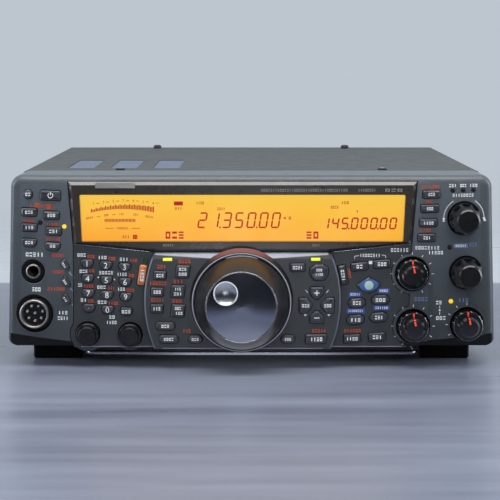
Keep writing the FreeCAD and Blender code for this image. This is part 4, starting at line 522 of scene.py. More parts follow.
# marks: each shape is modelled once, one unit high and wide, facing the front
markStart = -0.1955  # world Y from which the marks are laid onto their carrier


def flatSheet(width, height, x=0.0, z=0.0):
    bpy.ops.mesh.primitive_plane_add(size=1, location=(x, 0, z), rotation=upright)
    sheet = bpy.context.object
    sheet.scale = (width, height, 1)
    applyPlace(sheet)
    return sheet


def joinAll(pieces):
    bpy.ops.object.select_all(action="DESELECT")
    for piece in pieces:
        piece.select_set(True)
    bpy.context.view_layer.objects.active = pieces[0]
    if len(pieces) > 1:
        bpy.ops.object.join()
    return bpy.context.view_layer.objects.active


def makeFrameMark(wall):  # a small open box
    sheet = flatSheet(1, 1)
    selectWhere(sheet, lambda face: True)
    bpy.ops.mesh.inset(thickness=wall)
    bpy.ops.mesh.delete(type="FACE")
    leaveEdit()
    return sheet


def makeArcMark(radius, width, startAngle, endAngle, steps):  # angles in degrees, from the top, clockwise
    bpy.ops.mesh.primitive_plane_add(size=1, location=(0, 0, radius), rotation=upright)
    strip = bpy.context.object
    strip.scale = (1, width, 1)
    applyPlace(strip)
    selectWhere(strip, lambda face: True)
    bpy.ops.mesh.delete(type="ONLY_FACE")
    leaveEdit()
    selectWhere(strip, lambda edge: edgeMiddle(edge).x < 0.2, "EDGE")
    bpy.ops.mesh.delete(type="EDGE")
    leaveEdit()
    selectWhere(strip, lambda edge: True, "EDGE")
    bpy.ops.transform.translate(value=(-0.5, 0, 0))
    bpy.ops.mesh.spin(steps=steps, angle=math.radians(startAngle - endAngle), center=(0, 0, 0), axis=(0, 1, 0))
    leaveEdit()
    strip.data.transform(Matrix.Rotation(math.radians(startAngle), 4, "Y"))
    turnFront(strip)
    return strip


def turnFront(sheet):  # flat work whose faces have to point to the front
    selectWhere(sheet, lambda face: face.normal.y > 0)
    bpy.ops.mesh.flip_normals()
    leaveEdit()


def makeDigit(sign):
    bpy.ops.object.text_add(rotation=upright)
    letter = bpy.context.object
    letter.data.body = sign
    letter.data.align_x = "CENTER"
    letter.data.resolution_u = 3
    bpy.ops.object.convert(target="MESH")
    digit = bpy.context.object
    applyPlace(digit)
    low = min(vertex.co.z for vertex in digit.data.vertices)
    high = max(vertex.co.z for vertex in digit.data.vertices)
    size = high - low if sign != "." else 1.0
    digit.data.transform(Matrix.Translation((0, 0, -(low + high) / 2)))
    digit.data.transform(Matrix.Scale(1 / size, 4))
    return digit


def makeTriangleMark():  # points down
    bpy.ops.mesh.primitive_circle_add(vertices=3, radius=0.62, fill_type="NGON", rotation=upright)
    triangle = bpy.context.object
    applyPlace(triangle)
    triangle.data.transform(Matrix.Rotation(math.pi, 4, "Y"))
    turnFront(triangle)
    return triangle


def makeStackMark(rows, height):  # short strokes one above the other
    strokes = [flatSheet(1, height, 0, -0.5 + height / 2 + step * (1 - height) / (rows - 1)) for step in range(rows)]
    return joinAll(strokes)


def makeDiscMark():
    bpy.ops.mesh.primitive_circle_add(vertices=20, radius=0.5, fill_type="NGON", rotation=upright)
    disc = bpy.context.object
    applyPlace(disc)
    turnFront(disc)
    return disc


def makeSegment():  # one bar of a numeral, lying level, with pointed ends
    bar = flatSheet(1, 0.22)
    selectWhere(bar, lambda edge: abs(edgeMiddle(edge).x) > 0.4, "EDGE")
    bpy.ops.mesh.subdivide(number_cuts=1)
    leaveEdit()
    for vertex in bar.data.vertices:
        if abs(vertex.co.z) > 0.05:
            vertex.co.x *= 0.8
    return bar


shapes = {"bar": flatSheet(1, 1), "frame": makeFrameMark(0.27), "twin": makeStackMark(2, 0.3),
          "stack": makeStackMark(3, 0.22), "triangle": makeTriangleMark(), "disc": makeDiscMark(),
          "segment": makeSegment()}
for sign in "0123456789.":
    shapes[sign] = makeDigit(sign)
print("mark shapes made:", len(shapes))


def placeShape(kind, x, z, width, height, angle=0.0):  # millimetres, clockwise degrees
    copied = copyPiece("mark", shapes[kind])
    copied.data.transform(
        Matrix.Translation((x * mm, markStart, z * mm)) @ Matrix.Rotation(math.radians(angle), 4, "Y")
        @ Matrix.Diagonal((width * mm, 1, height * mm, 1)))
    return copied


def placeArc(x, z, *arc):
    piece = makeArcMark(*arc)
    piece.data.transform(Matrix.Translation((x * mm, markStart, z * mm)) @ Matrix.Scale(mm, 4))
    return piece


def cutUp(mark):  # a mark fine enough to follow a curved face
    selectWhere(mark, lambda face: True)
    bpy.ops.mesh.subdivide(number_cuts=5)
    leaveEdit()
    return mark


wordPattern = ("frame", "stack", "bar", "twin", "frame", "bar", "stack")
wordLook = {"pitch": 0.86, "bar": 0.3, "other": 0.72}  # pitch by the height, widths by the pitch


def placeWord(x, z, width, height, angle=0.0, start=0):  # a row of plain marks, as long as a printed word
    count = max(1, round(width / (height * wordLook["pitch"])))
    pitch = width / count
    placed = []
    turn = math.radians(angle)
    for step in range(count):
        along = (step + 0.5) * pitch - width / 2
        kind = wordPattern[(step * 3 + start) % len(wordPattern)]
        wide = pitch * wordLook["bar" if kind == "bar" else "other"]
        placed.append(placeShape(kind, x + along * math.cos(turn), z - along * math.sin(turn), wide, height, angle))
    return placed


def placeWords(words):
    return [mark for order, word in enumerate(words) for mark in placeWord(*word, start=order)]


# millimetres: a mark's face that falls further than drop has run over an edge
film = {"drop": 0.9, "lift": 0.04, "capLift": 0.06, "thick": 0.06}


def faceReach(face):  # how far a face runs from front to back
    depths = [vertex.co.y for vertex in face.verts]
    return max(depths) - min(depths)


def layMarks(name, placed, carriers, body, finish, cuts=0):
    marks = joinAll(placed)
    if cuts:
        selectWhere(marks, lambda face: True)
        bpy.ops.mesh.quads_convert_to_tris()
        bpy.ops.mesh.subdivide(number_cuts=cuts)
        leaveEdit()
    pickOnly(marks)
    wrap = marks.modifiers.new("lay", "SHRINKWRAP")
    wrap.wrap_method = "PROJECT"
    wrap.wrap_mode = "ABOVE_SURFACE"
    wrap.use_project_y = True
    wrap.use_positive_direction = True
    wrap.use_negative_direction = False
    wrap.offset = film["capLift" if cuts else "lift"] * mm
    wrap.target = carriers[0]
    if len(carriers) > 1:
        wrap.auxiliary_target = carriers[1]
    bpy.ops.object.modifier_apply(modifier=wrap.name)
    selectWhere(marks, lambda face: faceReach(face) > film["drop"] * mm or faceMiddle(face).y < markStart + mm)
    bpy.ops.mesh.delete(type="FACE")
    leaveEdit()
    thicken(marks, film["thick"] * mm)
    return finishPiece(marks, name, body, finish, 30)


panelSheets = (nodes["front_panel"], nodes["centre_fascia"])
panelWords = {  # x, z, width, height, angle
    "whiteInk": [
        (-120.6, 62.8, 10.6, 2.3), (-119.8, 43.3, 5.1, 2.3), (-105.0, 30.4, 5.6, 1.9), (-105.0, 27.3, 6.2, 1.9),
        (-94.3, 62.7, 5.0, 1.8), (-82.8, 61.3, 5.1, 1.8), (-70.8, 60.3, 5.0, 1.8), (-93.3, 53.6, 4.7, 1.8),
        (-80.8, 52.8, 8.0, 1.8), (-72.0, 51.9, 5.6, 1.8), (-95.3, 45.9, 2.4, 1.8), (-83.4, 44.7, 5.1, 1.8),
        (-72.4, 43.6, 4.4, 1.8), (-93.4, 37.5, 3.7, 1.8), (-83.1, 36.3, 5.3, 1.8), (-77.7, 27.9, 3.5, 1.8),
        (-78.0, 24.9, 6.0, 1.8), (111.4, 101.3, 4.4, 1.7), (117.3, 101.3, 3.7, 1.7), (123.1, 101.3, 4.8, 1.7),
        (117.3, 95.9, 12.2, 1.7), (82.3, 65.5, 10.0, 2.0), (97.6, 66.8, 13.8, 1.9), (102.3, 64.1, 8.6, 1.9),
        (104.4, 36.1, 3.5, 2.0), (105.6, 27.4, 5.8, 2.0), (65.9, 62.5, 11.6, 1.7)],
    "orangeInk": [
        (-117.0, 90.1, 6.6, 1.8), (-123.5, 81.6, 6.6, 1.6), (-110.4, 79.8, 6.6, 1.6), (-110.0, 71.6, 8.2, 1.7),
        (-107.3, 62.6, 7.0, 1.7), (-107.3, 53.3, 7.0, 1.7), (-108.7, 43.7, 10.0, 1.8), (-89.0, 61.7, 4.2, 1.8),
        (-77.5, 60.7, 4.2, 1.8), (-65.5, 59.6, 4.2, 1.8), (-88.8, 53.9, 3.4, 1.6), (-66.7, 51.2, 3.4, 1.8),
        (-90.6, 45.3, 5.6, 1.8), (-77.9, 44.1, 4.2, 1.8), (-67.3, 43.0, 4.6, 1.8), (-89.4, 36.9, 3.4, 1.8),
        (-76.9, 35.7, 5.8, 1.8), (-49.6, 57.0, 5.0, 1.9), (-36.9, 59.9, 7.1, 2.0), (-51.5, 47.7, 9.8, 1.9),
        (-40.4, 48.7, 5.7, 1.9), (-52.0, 38.4, 7.4, 1.9), (-41.1, 37.8, 5.6, 1.9), (-35.8, 21.1, 4.6, 1.9),
        (99.1, 100.6, 10.2, 1.7), (98.3, 92.6, 4.2, 1.6), (96.6, 76.6, 6.1, 1.6), (56.4, 20.3, 9.6, 1.8),
        (37.5, 21.2, 8.0, 1.9), (54.5, 52.4, 5.6, 1.5, 82)],
    "paleBlueInk": [(123.4, 68.3, 4.6, 2.1), (94.4, 38.1, 7.9, 2.2), (118.2, 37.2, 6.0, 2.2)],
}
panelShapes = {  # kind, x, z, width, height, angle
    "whiteInk": [
        ("bar", 106.6, 81.6, 1.5, 0.4), ("bar", 130.0, 81.8, 1.5, 0.4), ("bar", 130.0, 81.8, 0.4, 1.5),
        ("bar", -85.1, 50.2, 0.7, 0.7), ("bar", -76.1, 49.0, 0.7, 0.7), ("bar", 66.25, 58.5, 1.9, 1.8),
        ("bar", 58.6, 62.2, 2.4, 0.3, -8), ("bar", 73.5, 62.6, 2.2, 0.3, 8), ("bar", 57.4, 61.4, 0.3, 1.5),
        ("bar", 74.6, 61.7, 0.3, 1.5), ("bar", 30.6, 43.2, 0.3, 2.0, -38), ("bar", 42.1, 43.2, 0.3, 2.0, 38),
        ("triangle", 29.9, 30.0, 1.6, 1.2), ("triangle", 42.9, 30.0, 1.6, 1.2), ("bar", 104.9, 33.6, 0.3, 1.6),
        ("bar", 104.9, 30.0, 0.3, 1.6), ("disc", 104.9, 31.8, 1.0, 1.0)],
    "orangeInk": [
        ("frame", -119.07, 90.13, 2.8, 2.8), ("frame", -112.37, 89.73, 2.8, 2.8), ("bar", -119.07, 90.13, 0.8, 1.4),
        ("bar", -112.37, 89.73, 0.8, 1.4), ("bar", -122.4, 90.3, 0.3, 2.4), ("bar", -109.2, 89.4, 0.3, 2.4)],
    "blueInk": [
        ("bar", 57.8, 40.7, 7.1, 2.7), ("bar", 73.6, 42.7, 6.5, 2.7), ("bar", 58.1, 31.4, 10.2, 2.7),
        ("bar", 72.5, 33.1, 9.1, 2.7)],
    "paleBlueInk": [("bar", 116.4, 67.8, 8.1, 2.5)],
    # painted highlights: pale streaks beside the wedge keys, where their sloping edges catch the light
    "lavenderInk": [
        ("triangle", -100.2, 52.0, 1.1, 5.2, -39), ("triangle", -100.0, 43.3, 1.0, 3.4, -39),
        ("triangle", -99.4, 34.6, 0.9, 2.4, -39)],
}
longMark = 2.3  # a mark longer than this is cut up


def placeGrille(words, marks, ink):
    placed = placeWords(words.get(ink, []))
    for mark in marks.get(ink, []):
        shape = placeShape(*mark)
        placed.append(cutUp(shape) if max(mark[3], mark[4]) > longMark and mark[0] != "frame" else shape)
    return placed


pointers = {"audio_gain": (89.4, 52.3), "monitor_gain": (90.2, 22.9), "squelch_gain": (120.3, 23.7)}
knobTicks = {"inner": 10.7, "outer": 12.1, "wide": 0.32, "lowest": 12.2, "outmost": 131, "pitch": 30}
offsetArc = {"x": 118.0, "z": 83.1, "radius": 11.4, "wide": 0.34, "spans": ((-92, -32), (32, 92))}


def placeTicks(settings):  # eleven ticks round each double knob, less those that would leave the panel
    placed = []
    middle = (settings["inner"] + settings["outer"]) / 2
    for x, z in pointers.values():
        for step in range(-5, 6):
            angle = step * settings["pitch"]
            turn = math.radians(angle)
            tickX, tickZ = x + middle * math.sin(turn), z + middle * math.cos(turn)
            if tickZ >= settings["lowest"] and abs(tickX) <= settings["outmost"]:
                placed.append(placeShape("bar", tickX, tickZ, settings["wide"],
                                         settings["outer"] - settings["inner"], angle))
    return placed


def placeArcs(settings):
    placed = []
    x, z, radius = settings["x"], settings["z"], settings["radius"]
    for first, last in settings["spans"]:
        turn = math.radians(first if first < 0 else last)
        placed.append(placeArc(x, z, radius, settings["wide"], first, last, 14))
        placed.append(placeShape("triangle", x + radius * math.sin(turn), z + radius * math.cos(turn), 1.5, 2.2))
    return placed


for ink in ("whiteInk", "orangeInk", "blueInk", "paleBlueInk", "lavenderInk"):
    placed = placeGrille(panelWords, panelShapes, ink)
    if ink == "whiteInk":
        placed += placeTicks(knobTicks) + placeArcs(offsetArc)
    layMarks("panel" + ink[0].upper() + ink[1:], placed, panelSheets, "case", inkMade[ink])

patchWords = [(57.8, 40.7, 5.6, 1.3), (73.6, 42.7, 5.0, 1.3), (58.1, 31.4, 8.4, 1.3), (72.5, 33.1, 7.2, 1.3),
              (116.4, 67.8, 6.2, 1.2)]
patchMarks = layMarks("patchMarks", placeWords(patchWords), panelSheets, "case", inkMade["whiteInk"])
patchMarks.data.transform(Matrix.Translation((0, -0.05 * mm, 0)))

bezelWords = [(-46.0, 68.4, 6.0, 1.3), (29.2, 98.9, 48.0, 1.5), (63.8, 98.9, 10.0, 1.5), (35.8, 68.4, 4.4, 1.3)]
bezelShapes = [("frame", 75.2, 98.9, 2.6, 1.7), ("twin", 78.6, 98.9, 2.6, 1.7), ("frame", 82.0, 98.9, 2.6, 1.7)]
layMarks("bezelMarks", [placeShape(*mark) for mark in bezelShapes] + placeWords(bezelWords),
         (nodes["display_bezel"],), "case", inkMade["greyInk"])
print("panel marks laid")

# key caps: each key of a family gets a domed face
capDome = {"steps": ((0.42, 0.2), (0.4, 0.08)), "proud": 3.0}
keyFamilies = ("power_key", "programmable_key", "input_level_keys", "send_tuner_keys", "notch_keys", "number_keys",
               "function_key", "transmit_keys", "mode_keys", "display_keys", "menu_keys", "cursor_keys", "scan_keys",
               "call_key", "lens_key", "vfo_keys", "memory_keys", "offset_keys")


def copyNode(name):  # a copy of a frame piece, its triangles joined up
    piece = copyPiece(name, nodes[name])
    selectWhere(piece, lambda face: True)
    bpy.ops.mesh.remove_doubles(threshold=0.01 * mm)
    leaveEdit()
    return piece


def domeKeys(name):
    caps = copyNode(name)
    limit = frontPlane + capDome["proud"] * mm
    selectWhere(caps, lambda face: face.normal.y < -0.99 and faceMiddle(face).y < limit)
    bpy.ops.mesh.dissolve_limited(angle_limit=math.radians(1))
    for width, rise in capDome["steps"]:
        bpy.ops.mesh.inset(thickness=width * mm, depth=rise * mm)
    leaveEdit()
    slotName = "orange_key_plastic" if name == "function_key" else "key_plastic"
    finishPiece(caps, name + "_caps", name, finishMade[slotName], 35)
    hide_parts(name)
    return caps


keyCaps = {name: domeKeys(name) for name in keyFamilies}
print("key caps domed:", len(keyCaps))

# marks on the keys: node, then words and shapes as above
keyMarks = {
    "power_key": ([], [("bar", -111.1, 97.0, 0.45, 1.7)]),
    "programmable_key": ([(-123.8, 96.4, 3.0, 1.9)], []),
    "input_level_keys": (
        [(-123.3, 86.5, 4.6, 1.7), (-110.7, 84.9, 4.6, 1.7), (-123.3, 78.0, 5.0, 1.8), (-109.6, 76.1, 5.2, 1.8)], []),
    "send_tuner_keys": ([(-123.4, 69.6, 4.6, 1.7), (-110.2, 67.8, 3.4, 1.6)], []),
    "notch_keys": ([(-103.9, 57.2, 3.2, 1.2, 62), (-103.5, 47.8, 3.2, 1.2, 62), (-103.5, 38.1, 3.2, 1.2, 62)], []),
    "function_key": ([(-60.6, 51.6, 7.0, 1.9, -84)], []),
    "transmit_keys": ([(-50.4, 52.2, 4.2, 1.8), (-52.0, 43.0, 4.4, 1.8), (-52.3, 33.7, 4.4, 1.8)], []),
    "mode_keys": (
        [(-37.9, 55.7, 4.4, 1.6), (-37.9, 53.0, 4.8, 1.6), (-40.6, 44.7, 3.6, 1.6), (-40.6, 42.0, 4.6, 1.6),
         (-40.6, 33.9, 3.6, 1.6), (-40.0, 31.2, 4.2, 1.6)], []),
    "display_keys": ([(-47.6, 23.9, 4.6, 1.7), (-45.8, 16.6, 5.6, 1.7)], []),
    "menu_keys": ([(25.5, 56.6, 5.6, 1.8), (37.4, 55.2, 3.4, 1.4), (37.4, 52.8, 4.4, 1.4)], []),
    "cursor_keys": (
        [(30.0, 35.4, 4.4, 1.8), (42.2, 35.4, 4.2, 1.8)],
        [("bar", 36.2, 42.5, 3.0, 0.5), ("bar", 36.2, 42.5, 0.5, 3.0), ("bar", 36.2, 28.6, 3.0, 0.5)]),
    "scan_keys": ([(-31.1, 16.6, 4.2, 1.5), (20.2, 16.6, 3.8, 1.5), (36.0, 16.7, 6.8, 2.1)], []),
    "call_key": ([(50.9, 51.6, 6.4, 1.8, 82)], []),
    "vfo_keys": (
        [(58.7, 36.0, 4.8, 2.0), (71.8, 37.7, 5.8, 2.0), (58.0, 26.5, 6.0, 2.0), (71.0, 27.9, 4.8, 2.0)], []),
    "memory_keys": (
        [(60.0, 56.4, 3.8, 2.0), (72.5, 57.8, 5.2, 2.0), (56.1, 15.9, 6.6, 1.8), (70.1, 16.8, 5.4, 2.0)], []),
    "offset_keys": (
        [(99.6, 96.6, 3.8, 1.7), (98.7, 88.7, 3.8, 1.7), (98.0, 80.7, 5.8, 1.7), (97.2, 72.5, 4.2, 1.7)], []),
}
powerRing = (-111.1, 96.0, 1.35, 0.42, 32, 328, 20)  # x, z, radius, width, from and to in degrees, steps
for node, (words, marks) in keyMarks.items():
    placed = placeWords(words) + [placeShape(*mark) for mark in marks]
    if node == "power_key":
        placed.append(placeArc(*powerRing))
    layMarks(node + "_marks", placed, (keyCaps[node],), node, inkMade["whiteInk"], 2)

numberPad = {"x": -91.2, "z": 58.0, "across": 10.4, "drift": 0.25, "fall": 1.0, "down": 8.3, "high": 3.1}
placed = []
for order, sign in enumerate("123456789.0"):
    row, column = divmod(order, 3)
    x = numberPad["x"] + numberPad["across"] * column + numberPad["drift"] * row
    z = numberPad["z"] - numberPad["fall"] * column - numberPad["down"] * row
    placed.append(placeShape(sign, x, z, numberPad["high"], numberPad["high"]))
x = numberPad["x"] + 2 * numberPad["across"] + 3 * numberPad["drift"]
z = numberPad["z"] - 2 * numberPad["fall"] - 3 * numberPad["down"]
placed += placeWord(x, z, 5.2, 1.8)
layMarks("number_keys_marks", placed, (keyCaps["number_keys"],), "number_keys",
         inkMade["whiteInk"], 2)
print("key marks laid")

# display contents
screenCarrier = (nodes["display_module"],)
numeralBars = {"0": "abcdef", "1": "bc", "2": "abged", "3": "abgcd", "4": "fgbc", "5": "afgcd"}
numeral = {"slant": 0.16, "high": 4.0, "reach": 0.96}


def placeNumeral(sign, x, z, width, height):  # x and z are the middle, in millimetres
    half = height / 2
    spots = {"a": (0, half, 0), "g": (0, 0, 0), "d": (0, -half, 0), "b": (width / 2, half / 2, 90),
             "c": (width / 2, -half / 2, 90), "f": (-width / 2, half / 2, 90), "e": (-width / 2, -half / 2, 90)}
    lean = Matrix.Identity(4)
    lean[0][2] = numeral["slant"]
    placed = []
    for bar in numeralBars[sign]:
        alongX, alongZ, angle = spots[bar]
        long = (width if angle == 0 else half) * numeral["reach"]
        piece = placeShape("segment", 0, 0, long, numeral["high"], angle)
        piece.data.transform(Matrix.Translation((x * mm, 0, z * mm)) @ lean
                             @ Matrix.Translation((alongX * mm, 0, alongZ * mm)))
        placed.append(piece)
    return placed


def placeReadout(text, left, right, z, width, height):
    placed = []
    signs = [sign for sign in text if sign != "."]
    pitch = (right - left - width) / (len(signs) - 1)
    step = 0
    for sign in text:
        if sign == ".":
            placed.append(placeShape("bar", left + (step - 0.5) * pitch + width / 2 - 0.5, z - height / 2, 0.9, 0.9))
            continue
        placed += placeNumeral(sign, left + step * pitch + width / 2, z, width, height)
        step += 1
    return placed


def meterBend(share):
    return meter["level"] + meter["rise"] * (1 - (2 * share - 1) ** 2)


readouts = [("21.350.00", -29.0, 15.6, 82.1, 3.9, 8.0), ("145.000.00", 39.7, 80.2, 80.3, 3.1, 5.8)]
meter = {"left": -88.6, "right": -54.2, "rise": 1.9, "level": 86.4, "ticks": 40, "tickWide": 0.6,
         "short": (1.3, 1.6), "long": (2.0, 1.3),  # a tick's height at the left, and what it grows by
         "signs": "1357924", "signUp": 4.6, "signHigh": 1.5, "dashAside": 2.4, "dash": (1.8, 0.3),
         "rowLeft": -81.1, "rowPitch": 0.79, "rowTicks": 22, "rowLevel": 82.0, "rowTick": (0.48, 1.7)}
placed = []
for readout in readouts:
    placed += placeReadout(*readout)
for step in range(meter["ticks"]):
    share = step / (meter["ticks"] - 1)
    x = meter["left"] + share * (meter["right"] - meter["left"])
    least, growth = meter["short" if step % 3 else "long"]
    tall = least + growth * share
    placed.append(placeShape("bar", x, meterBend(share) + tall / 2, meter["tickWide"], tall))
for order, sign in enumerate(meter["signs"]):
    share = (order + 0.4) / len(meter["signs"])
    x = meter["left"] - 1 + share * (meter["right"] - meter["left"] + 4)
    z = meterBend(share) + meter["signUp"]
    placed.append(placeShape(sign, x, z, meter["signHigh"], meter["signHigh"]))
    placed.append(placeShape("bar", x + meter["dashAside"], z, *meter["dash"]))
for step in range(meter["rowTicks"]):
    x = meter["rowLeft"] + step * meter["rowPitch"]
    placed.append(placeShape("bar", x, meter["rowLevel"], *meter["rowTick"]))
lowMarks = [
    (-89.6, 83.4, 4.2, 1.1, -12), (-80.4, 84.9, 2.6, 1.1, -6), (-72.0, 85.5, 2.6, 1.1), (-64.0, 85.2, 3.0, 1.1, 4),
    (-56.5, 84.0, 4.6, 1.1, 8), (-71.4, 77.6, 6.6, 1.1), (-69.6, 72.8, 4.0, 1.6), (-42.6, 73.8, 11.0, 4.0),
    (33.9, 73.8, 7.6, 4.0), (-28.4, 91.7, 4.6, 1.5), (-16.8, 88.4, 4.6, 1.5), (46.1, 89.3, 4.6, 1.5),
    (51.9, 91.8, 4.4, 1.5), (-40.4, 88.6, 4.2, 1.4), (21.4, 83.3, 1.8, 1.6)]
placed += placeWords(lowMarks)
plainMarks = [
    ("bar", -78.5, 77.6, 4.6, 0.3), ("bar", -64.0, 77.6, 4.6, 0.3), ("frame", -64.5, 72.8, 2.4, 2.4),
    ("bar", -64.5, 72.8, 0.8, 1.2), ("bar", -40.4, 91.4, 5.0, 2.2), ("triangle", 18.6, 83.3, 1.6, 1.4, 90),
    ("bar", 58.7, 87.0, 0.5, 1.4), ("bar", -84.6, 84.2, 2.2, 0.3, -10), ("bar", -76.2, 85.2, 2.0, 0.3, -4)]
placed += [placeShape(*mark) for mark in plainMarks]
layMarks("displaySegments", placed, screenCarrier, "case", inkMade["segmentInk"])
print("display contents laid")

# pointers on the double knobs: how far up, how long, how far aside, how far turned
pointerShapes = {"_ring": (7.0, 1.8, -0.2, 0.0), "_cap": (3.6, 3.5, 0.0, -11)}
pointerWide = 0.9
for knob, (x, z) in pointers.items():
    for part, (up, long, aside, turn) in pointerShapes.items():
        mark = cutUp(placeShape("bar", x + aside, z + up, pointerWide, long, turn))
        layMarks(knob + part + "_pointer", [mark], (nodes[knob + part],), knob + part,
                 inkMade["glowingRedInk"])

# lamps: lens modelled once and copied for each place
lampPlaces = {  # x, z, width, height, lens
    "voiceLamp": (-117.2, 80.7, 2.5, 2.5, "darkLens"), "speechLamp": (-103.7, 78.6, 2.5, 2.5, "amberLens"),
    "fineLamp": (-58.8, 59.4, 2.5, 2.5, "greenLens"), "readyLamp": (111.5, 98.7, 2.5, 2.5, "darkLens"),
    "busyLamp": (117.4, 98.7, 2.5, 2.5, "darkLens"), "linkLamp": (123.2, 98.7, 2.5, 2.5, "darkLens"),
    "channelLamp": (110.1, 67.1, 2.5, 2.5, "darkLens"), "squelchLamp": (111.2, 36.7, 2.5, 2.5, "amberLens"),
    "mainBar": (-46.3, 60.9, 5.0, 1.5, "yellowLens"), "subBar": (35.5, 61.0, 5.0, 1.5, "yellowLens")}
lensThick = 1.6
rayStart = -0.3  # world Y ahead of every part


def makeRoundLens():
    bpy.ops.mesh.primitive_cylinder_add(vertices=24, radius=0.5, depth=1, location=(0, 0, 0), rotation=upright)
    lens = bpy.context.object
    applyPlace(lens)
    roundFront(lens, -0.49, 0.3, 4)
    return lens


def makeBarLens():
    lens = makeBlock(1, 1, 1)
    roundFront(lens, -0.49, 0.16, 3)
    return lens


roundLens, barLens = makeRoundLens(), makeBarLens()


def surfaceDepth(carrier, x, z):  # how deep the carrier's front lies at a place
    hit, point, _, _ = nodes[carrier].ray_cast(Vector((x * mm, rayStart, z * mm)), deepAxis)
    return point.y if hit else None


for name, (x, z, width, height, lensInk) in lampPlaces.items():
    lens = copyPiece(name, roundLens if width == height else barLens)
    front = surfaceDepth("indicator_lamps", x, z)
    lens.data.transform(Matrix.Translation((x * mm, front + lensThick * mm / 2, z * mm))
                        @ Matrix.Diagonal((width * mm, lensThick * mm, height * mm, 1)))
    finishPiece(lens, name, "case", inkMade[lensInk])
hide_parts("indicator_lamps")
print("lamps set")

# bare badge plate on the bezel's upper edge
badge = {"x": -75.3, "z": 101.6, "wide": 22.0, "high": 3.4, "front": -2.0, "thick": 1.4}
plate = makeBlock(badge["wide"] * mm, badge["thick"] * mm, badge["high"] * mm)
roundFront(plate, (0.1 - badge["thick"] / 2) * mm, 0.35 * mm, 3, 0.6)
plate.data.transform(Matrix.Translation(spot(badge["x"], badge["front"] + badge["thick"] / 2, badge["z"])))
finishPiece(plate, "badgePlate", "case", finishMade["badge_satin"])

# painted highlights: bright metal strips along the bezel's sloping foot, standing in for the light on its chamfer
footHighlights = {"footHighlightLeft": ((-98.4, 68.9), (-56.0, 64.7)), "footHighlightRight": ((45.6, 64.7), (88.6, 68.9))}
footHighlight = {"wide": 0.5, "front": -0.9, "thick": 1.2}
for name, ((startX, startZ), (endX, endZ)) in footHighlights.items():
    long = math.hypot(endX - startX, endZ - startZ)
    line = makeBlock(long * mm, footHighlight["thick"] * mm, footHighlight["wide"] * mm)
    roundFront(line, (0.01 - footHighlight["thick"] / 2) * mm, 0.18 * mm, 2)
    middle = spot((startX + endX) / 2, footHighlight["front"] + footHighlight["thick"] / 2, (startZ + endZ) / 2)
    turn = math.atan2(startZ - endZ, endX - startX)
    line.data.transform(Matrix.Translation(middle) @ Matrix.Rotation(turn, 4, "Y"))
    finishPiece(line, name, "case", finishMade["bright_metal"])

# painted highlight: a pale line along the lower edge of the centre part, standing in for the light on its rounded
# edge; from, to, depth
lowerTrim = {"level": 11.35, "high": 0.5, "thick": 0.9,
             "spans": ((-95.0, -53.5, 0.3), (-49.5, 39.5, -6.15), (43.5, 84.0, 0.3))}
strips = []
for startX, endX, depth in lowerTrim["spans"]:
    strip = makeBlock((endX - startX) * mm, lowerTrim["thick"] * mm, lowerTrim["high"] * mm)
    roundFront(strip, (0.01 - lowerTrim["thick"] / 2) * mm, 0.14 * mm, 2)
    middle = spot((startX + endX) / 2, depth + lowerTrim["thick"] / 2, lowerTrim["level"])
    strip.data.transform(Matrix.Translation(middle))
    strips.append(strip)
finishPiece(joinAll(strips), "lowerTrim", "case", inkMade["lavenderInk"])

# heads of the front screws in the cover: a dark dome with a bright disc in the middle, a painted highlight on each
# head
screwPlaces, screwTop = ((-76.0, 50.0), (76.0, 50.0)), 106.98
screwHeads = {  # radius, thickness, rise, height above the cover, finish
    "coverScrewDomes": (2.7, 0.5, 0.35, 0.0, "well_black"),
    "coverScrewHighlights": (1.5, 0.2, 0.15, 0.9, "badge_satin")}


def makeScrewHead(radius, thick, rise):
    bpy.ops.mesh.primitive_circle_add(vertices=36, radius=radius * mm, fill_type="NGON")
    head = bpy.context.object
    selectWhere(head, lambda face: True)
    bpy.ops.mesh.extrude_region_move(TRANSFORM_OT_translate={"value": (0, 0, thick * mm)})
    bpy.ops.mesh.inset(thickness=0.3 * mm, depth=rise * mm)
    bpy.ops.mesh.inset(thickness=0.4 * mm, depth=rise * mm / 2)
    closeSkin()
    return head


for name, (radius, thick, rise, lift, look) in screwHeads.items():
    source = makeScrewHead(radius, thick, rise)
    heads = [copyPiece("head", source) for _ in screwPlaces]
    for head, (x, depth) in zip(heads, screwPlaces):
        head.data.transform(Matrix.Translation(spot(x, depth, screwTop + lift)))
    bpy.data.objects.remove(source)
    finishPiece(joinAll(heads), name, "case", finishMade[look])

# rings, linings and faces that start from one circle
def startCircle(x, z, radius, depth, corners, filled=False):
    bpy.ops.mesh.primitive_circle_add(vertices=corners, radius=radius * mm, rotation=upright,
                                      location=spot(x, depth, z), fill_type="NGON" if filled else "NOTHING")
    circle = bpy.context.object
    applyPlace(circle)
    return circle


def growRing(centre, share, push):  # extrudes the picked rim, narrows it to that share and pushes it back
    bpy.ops.mesh.extrude_region_move(TRANSFORM_OT_translate={"value": (0, push * mm, 0)})
    bpy.ops.transform.resize(value=(share, 1, share), center_override=centre)


def makeBand(name, body, finish, settings):  # thin raised ring with rounded edges
    x, z, outer, inner = settings["x"], settings["z"], settings["outer"], settings["inner"]
    band = startCircle(x, z, outer, settings["front"], settings.get("corners", 96))
    selectWhere(band, lambda edge: True, "EDGE")
    growRing(spot(x, settings["front"], z), inner / outer, 0.0)
    closeSkin()
    turnFront(band)
    thicken(band, settings["thick"] * mm)
    soft = band.modifiers.new("soft", "BEVEL")
    soft.width = settings["round"] * mm
    soft.segments = settings.get("segments", 2)
    soft.limit_method = "ANGLE"
    bpy.ops.object.modifier_apply(modifier=soft.name)
    return finishPiece(band, name, body, finish)


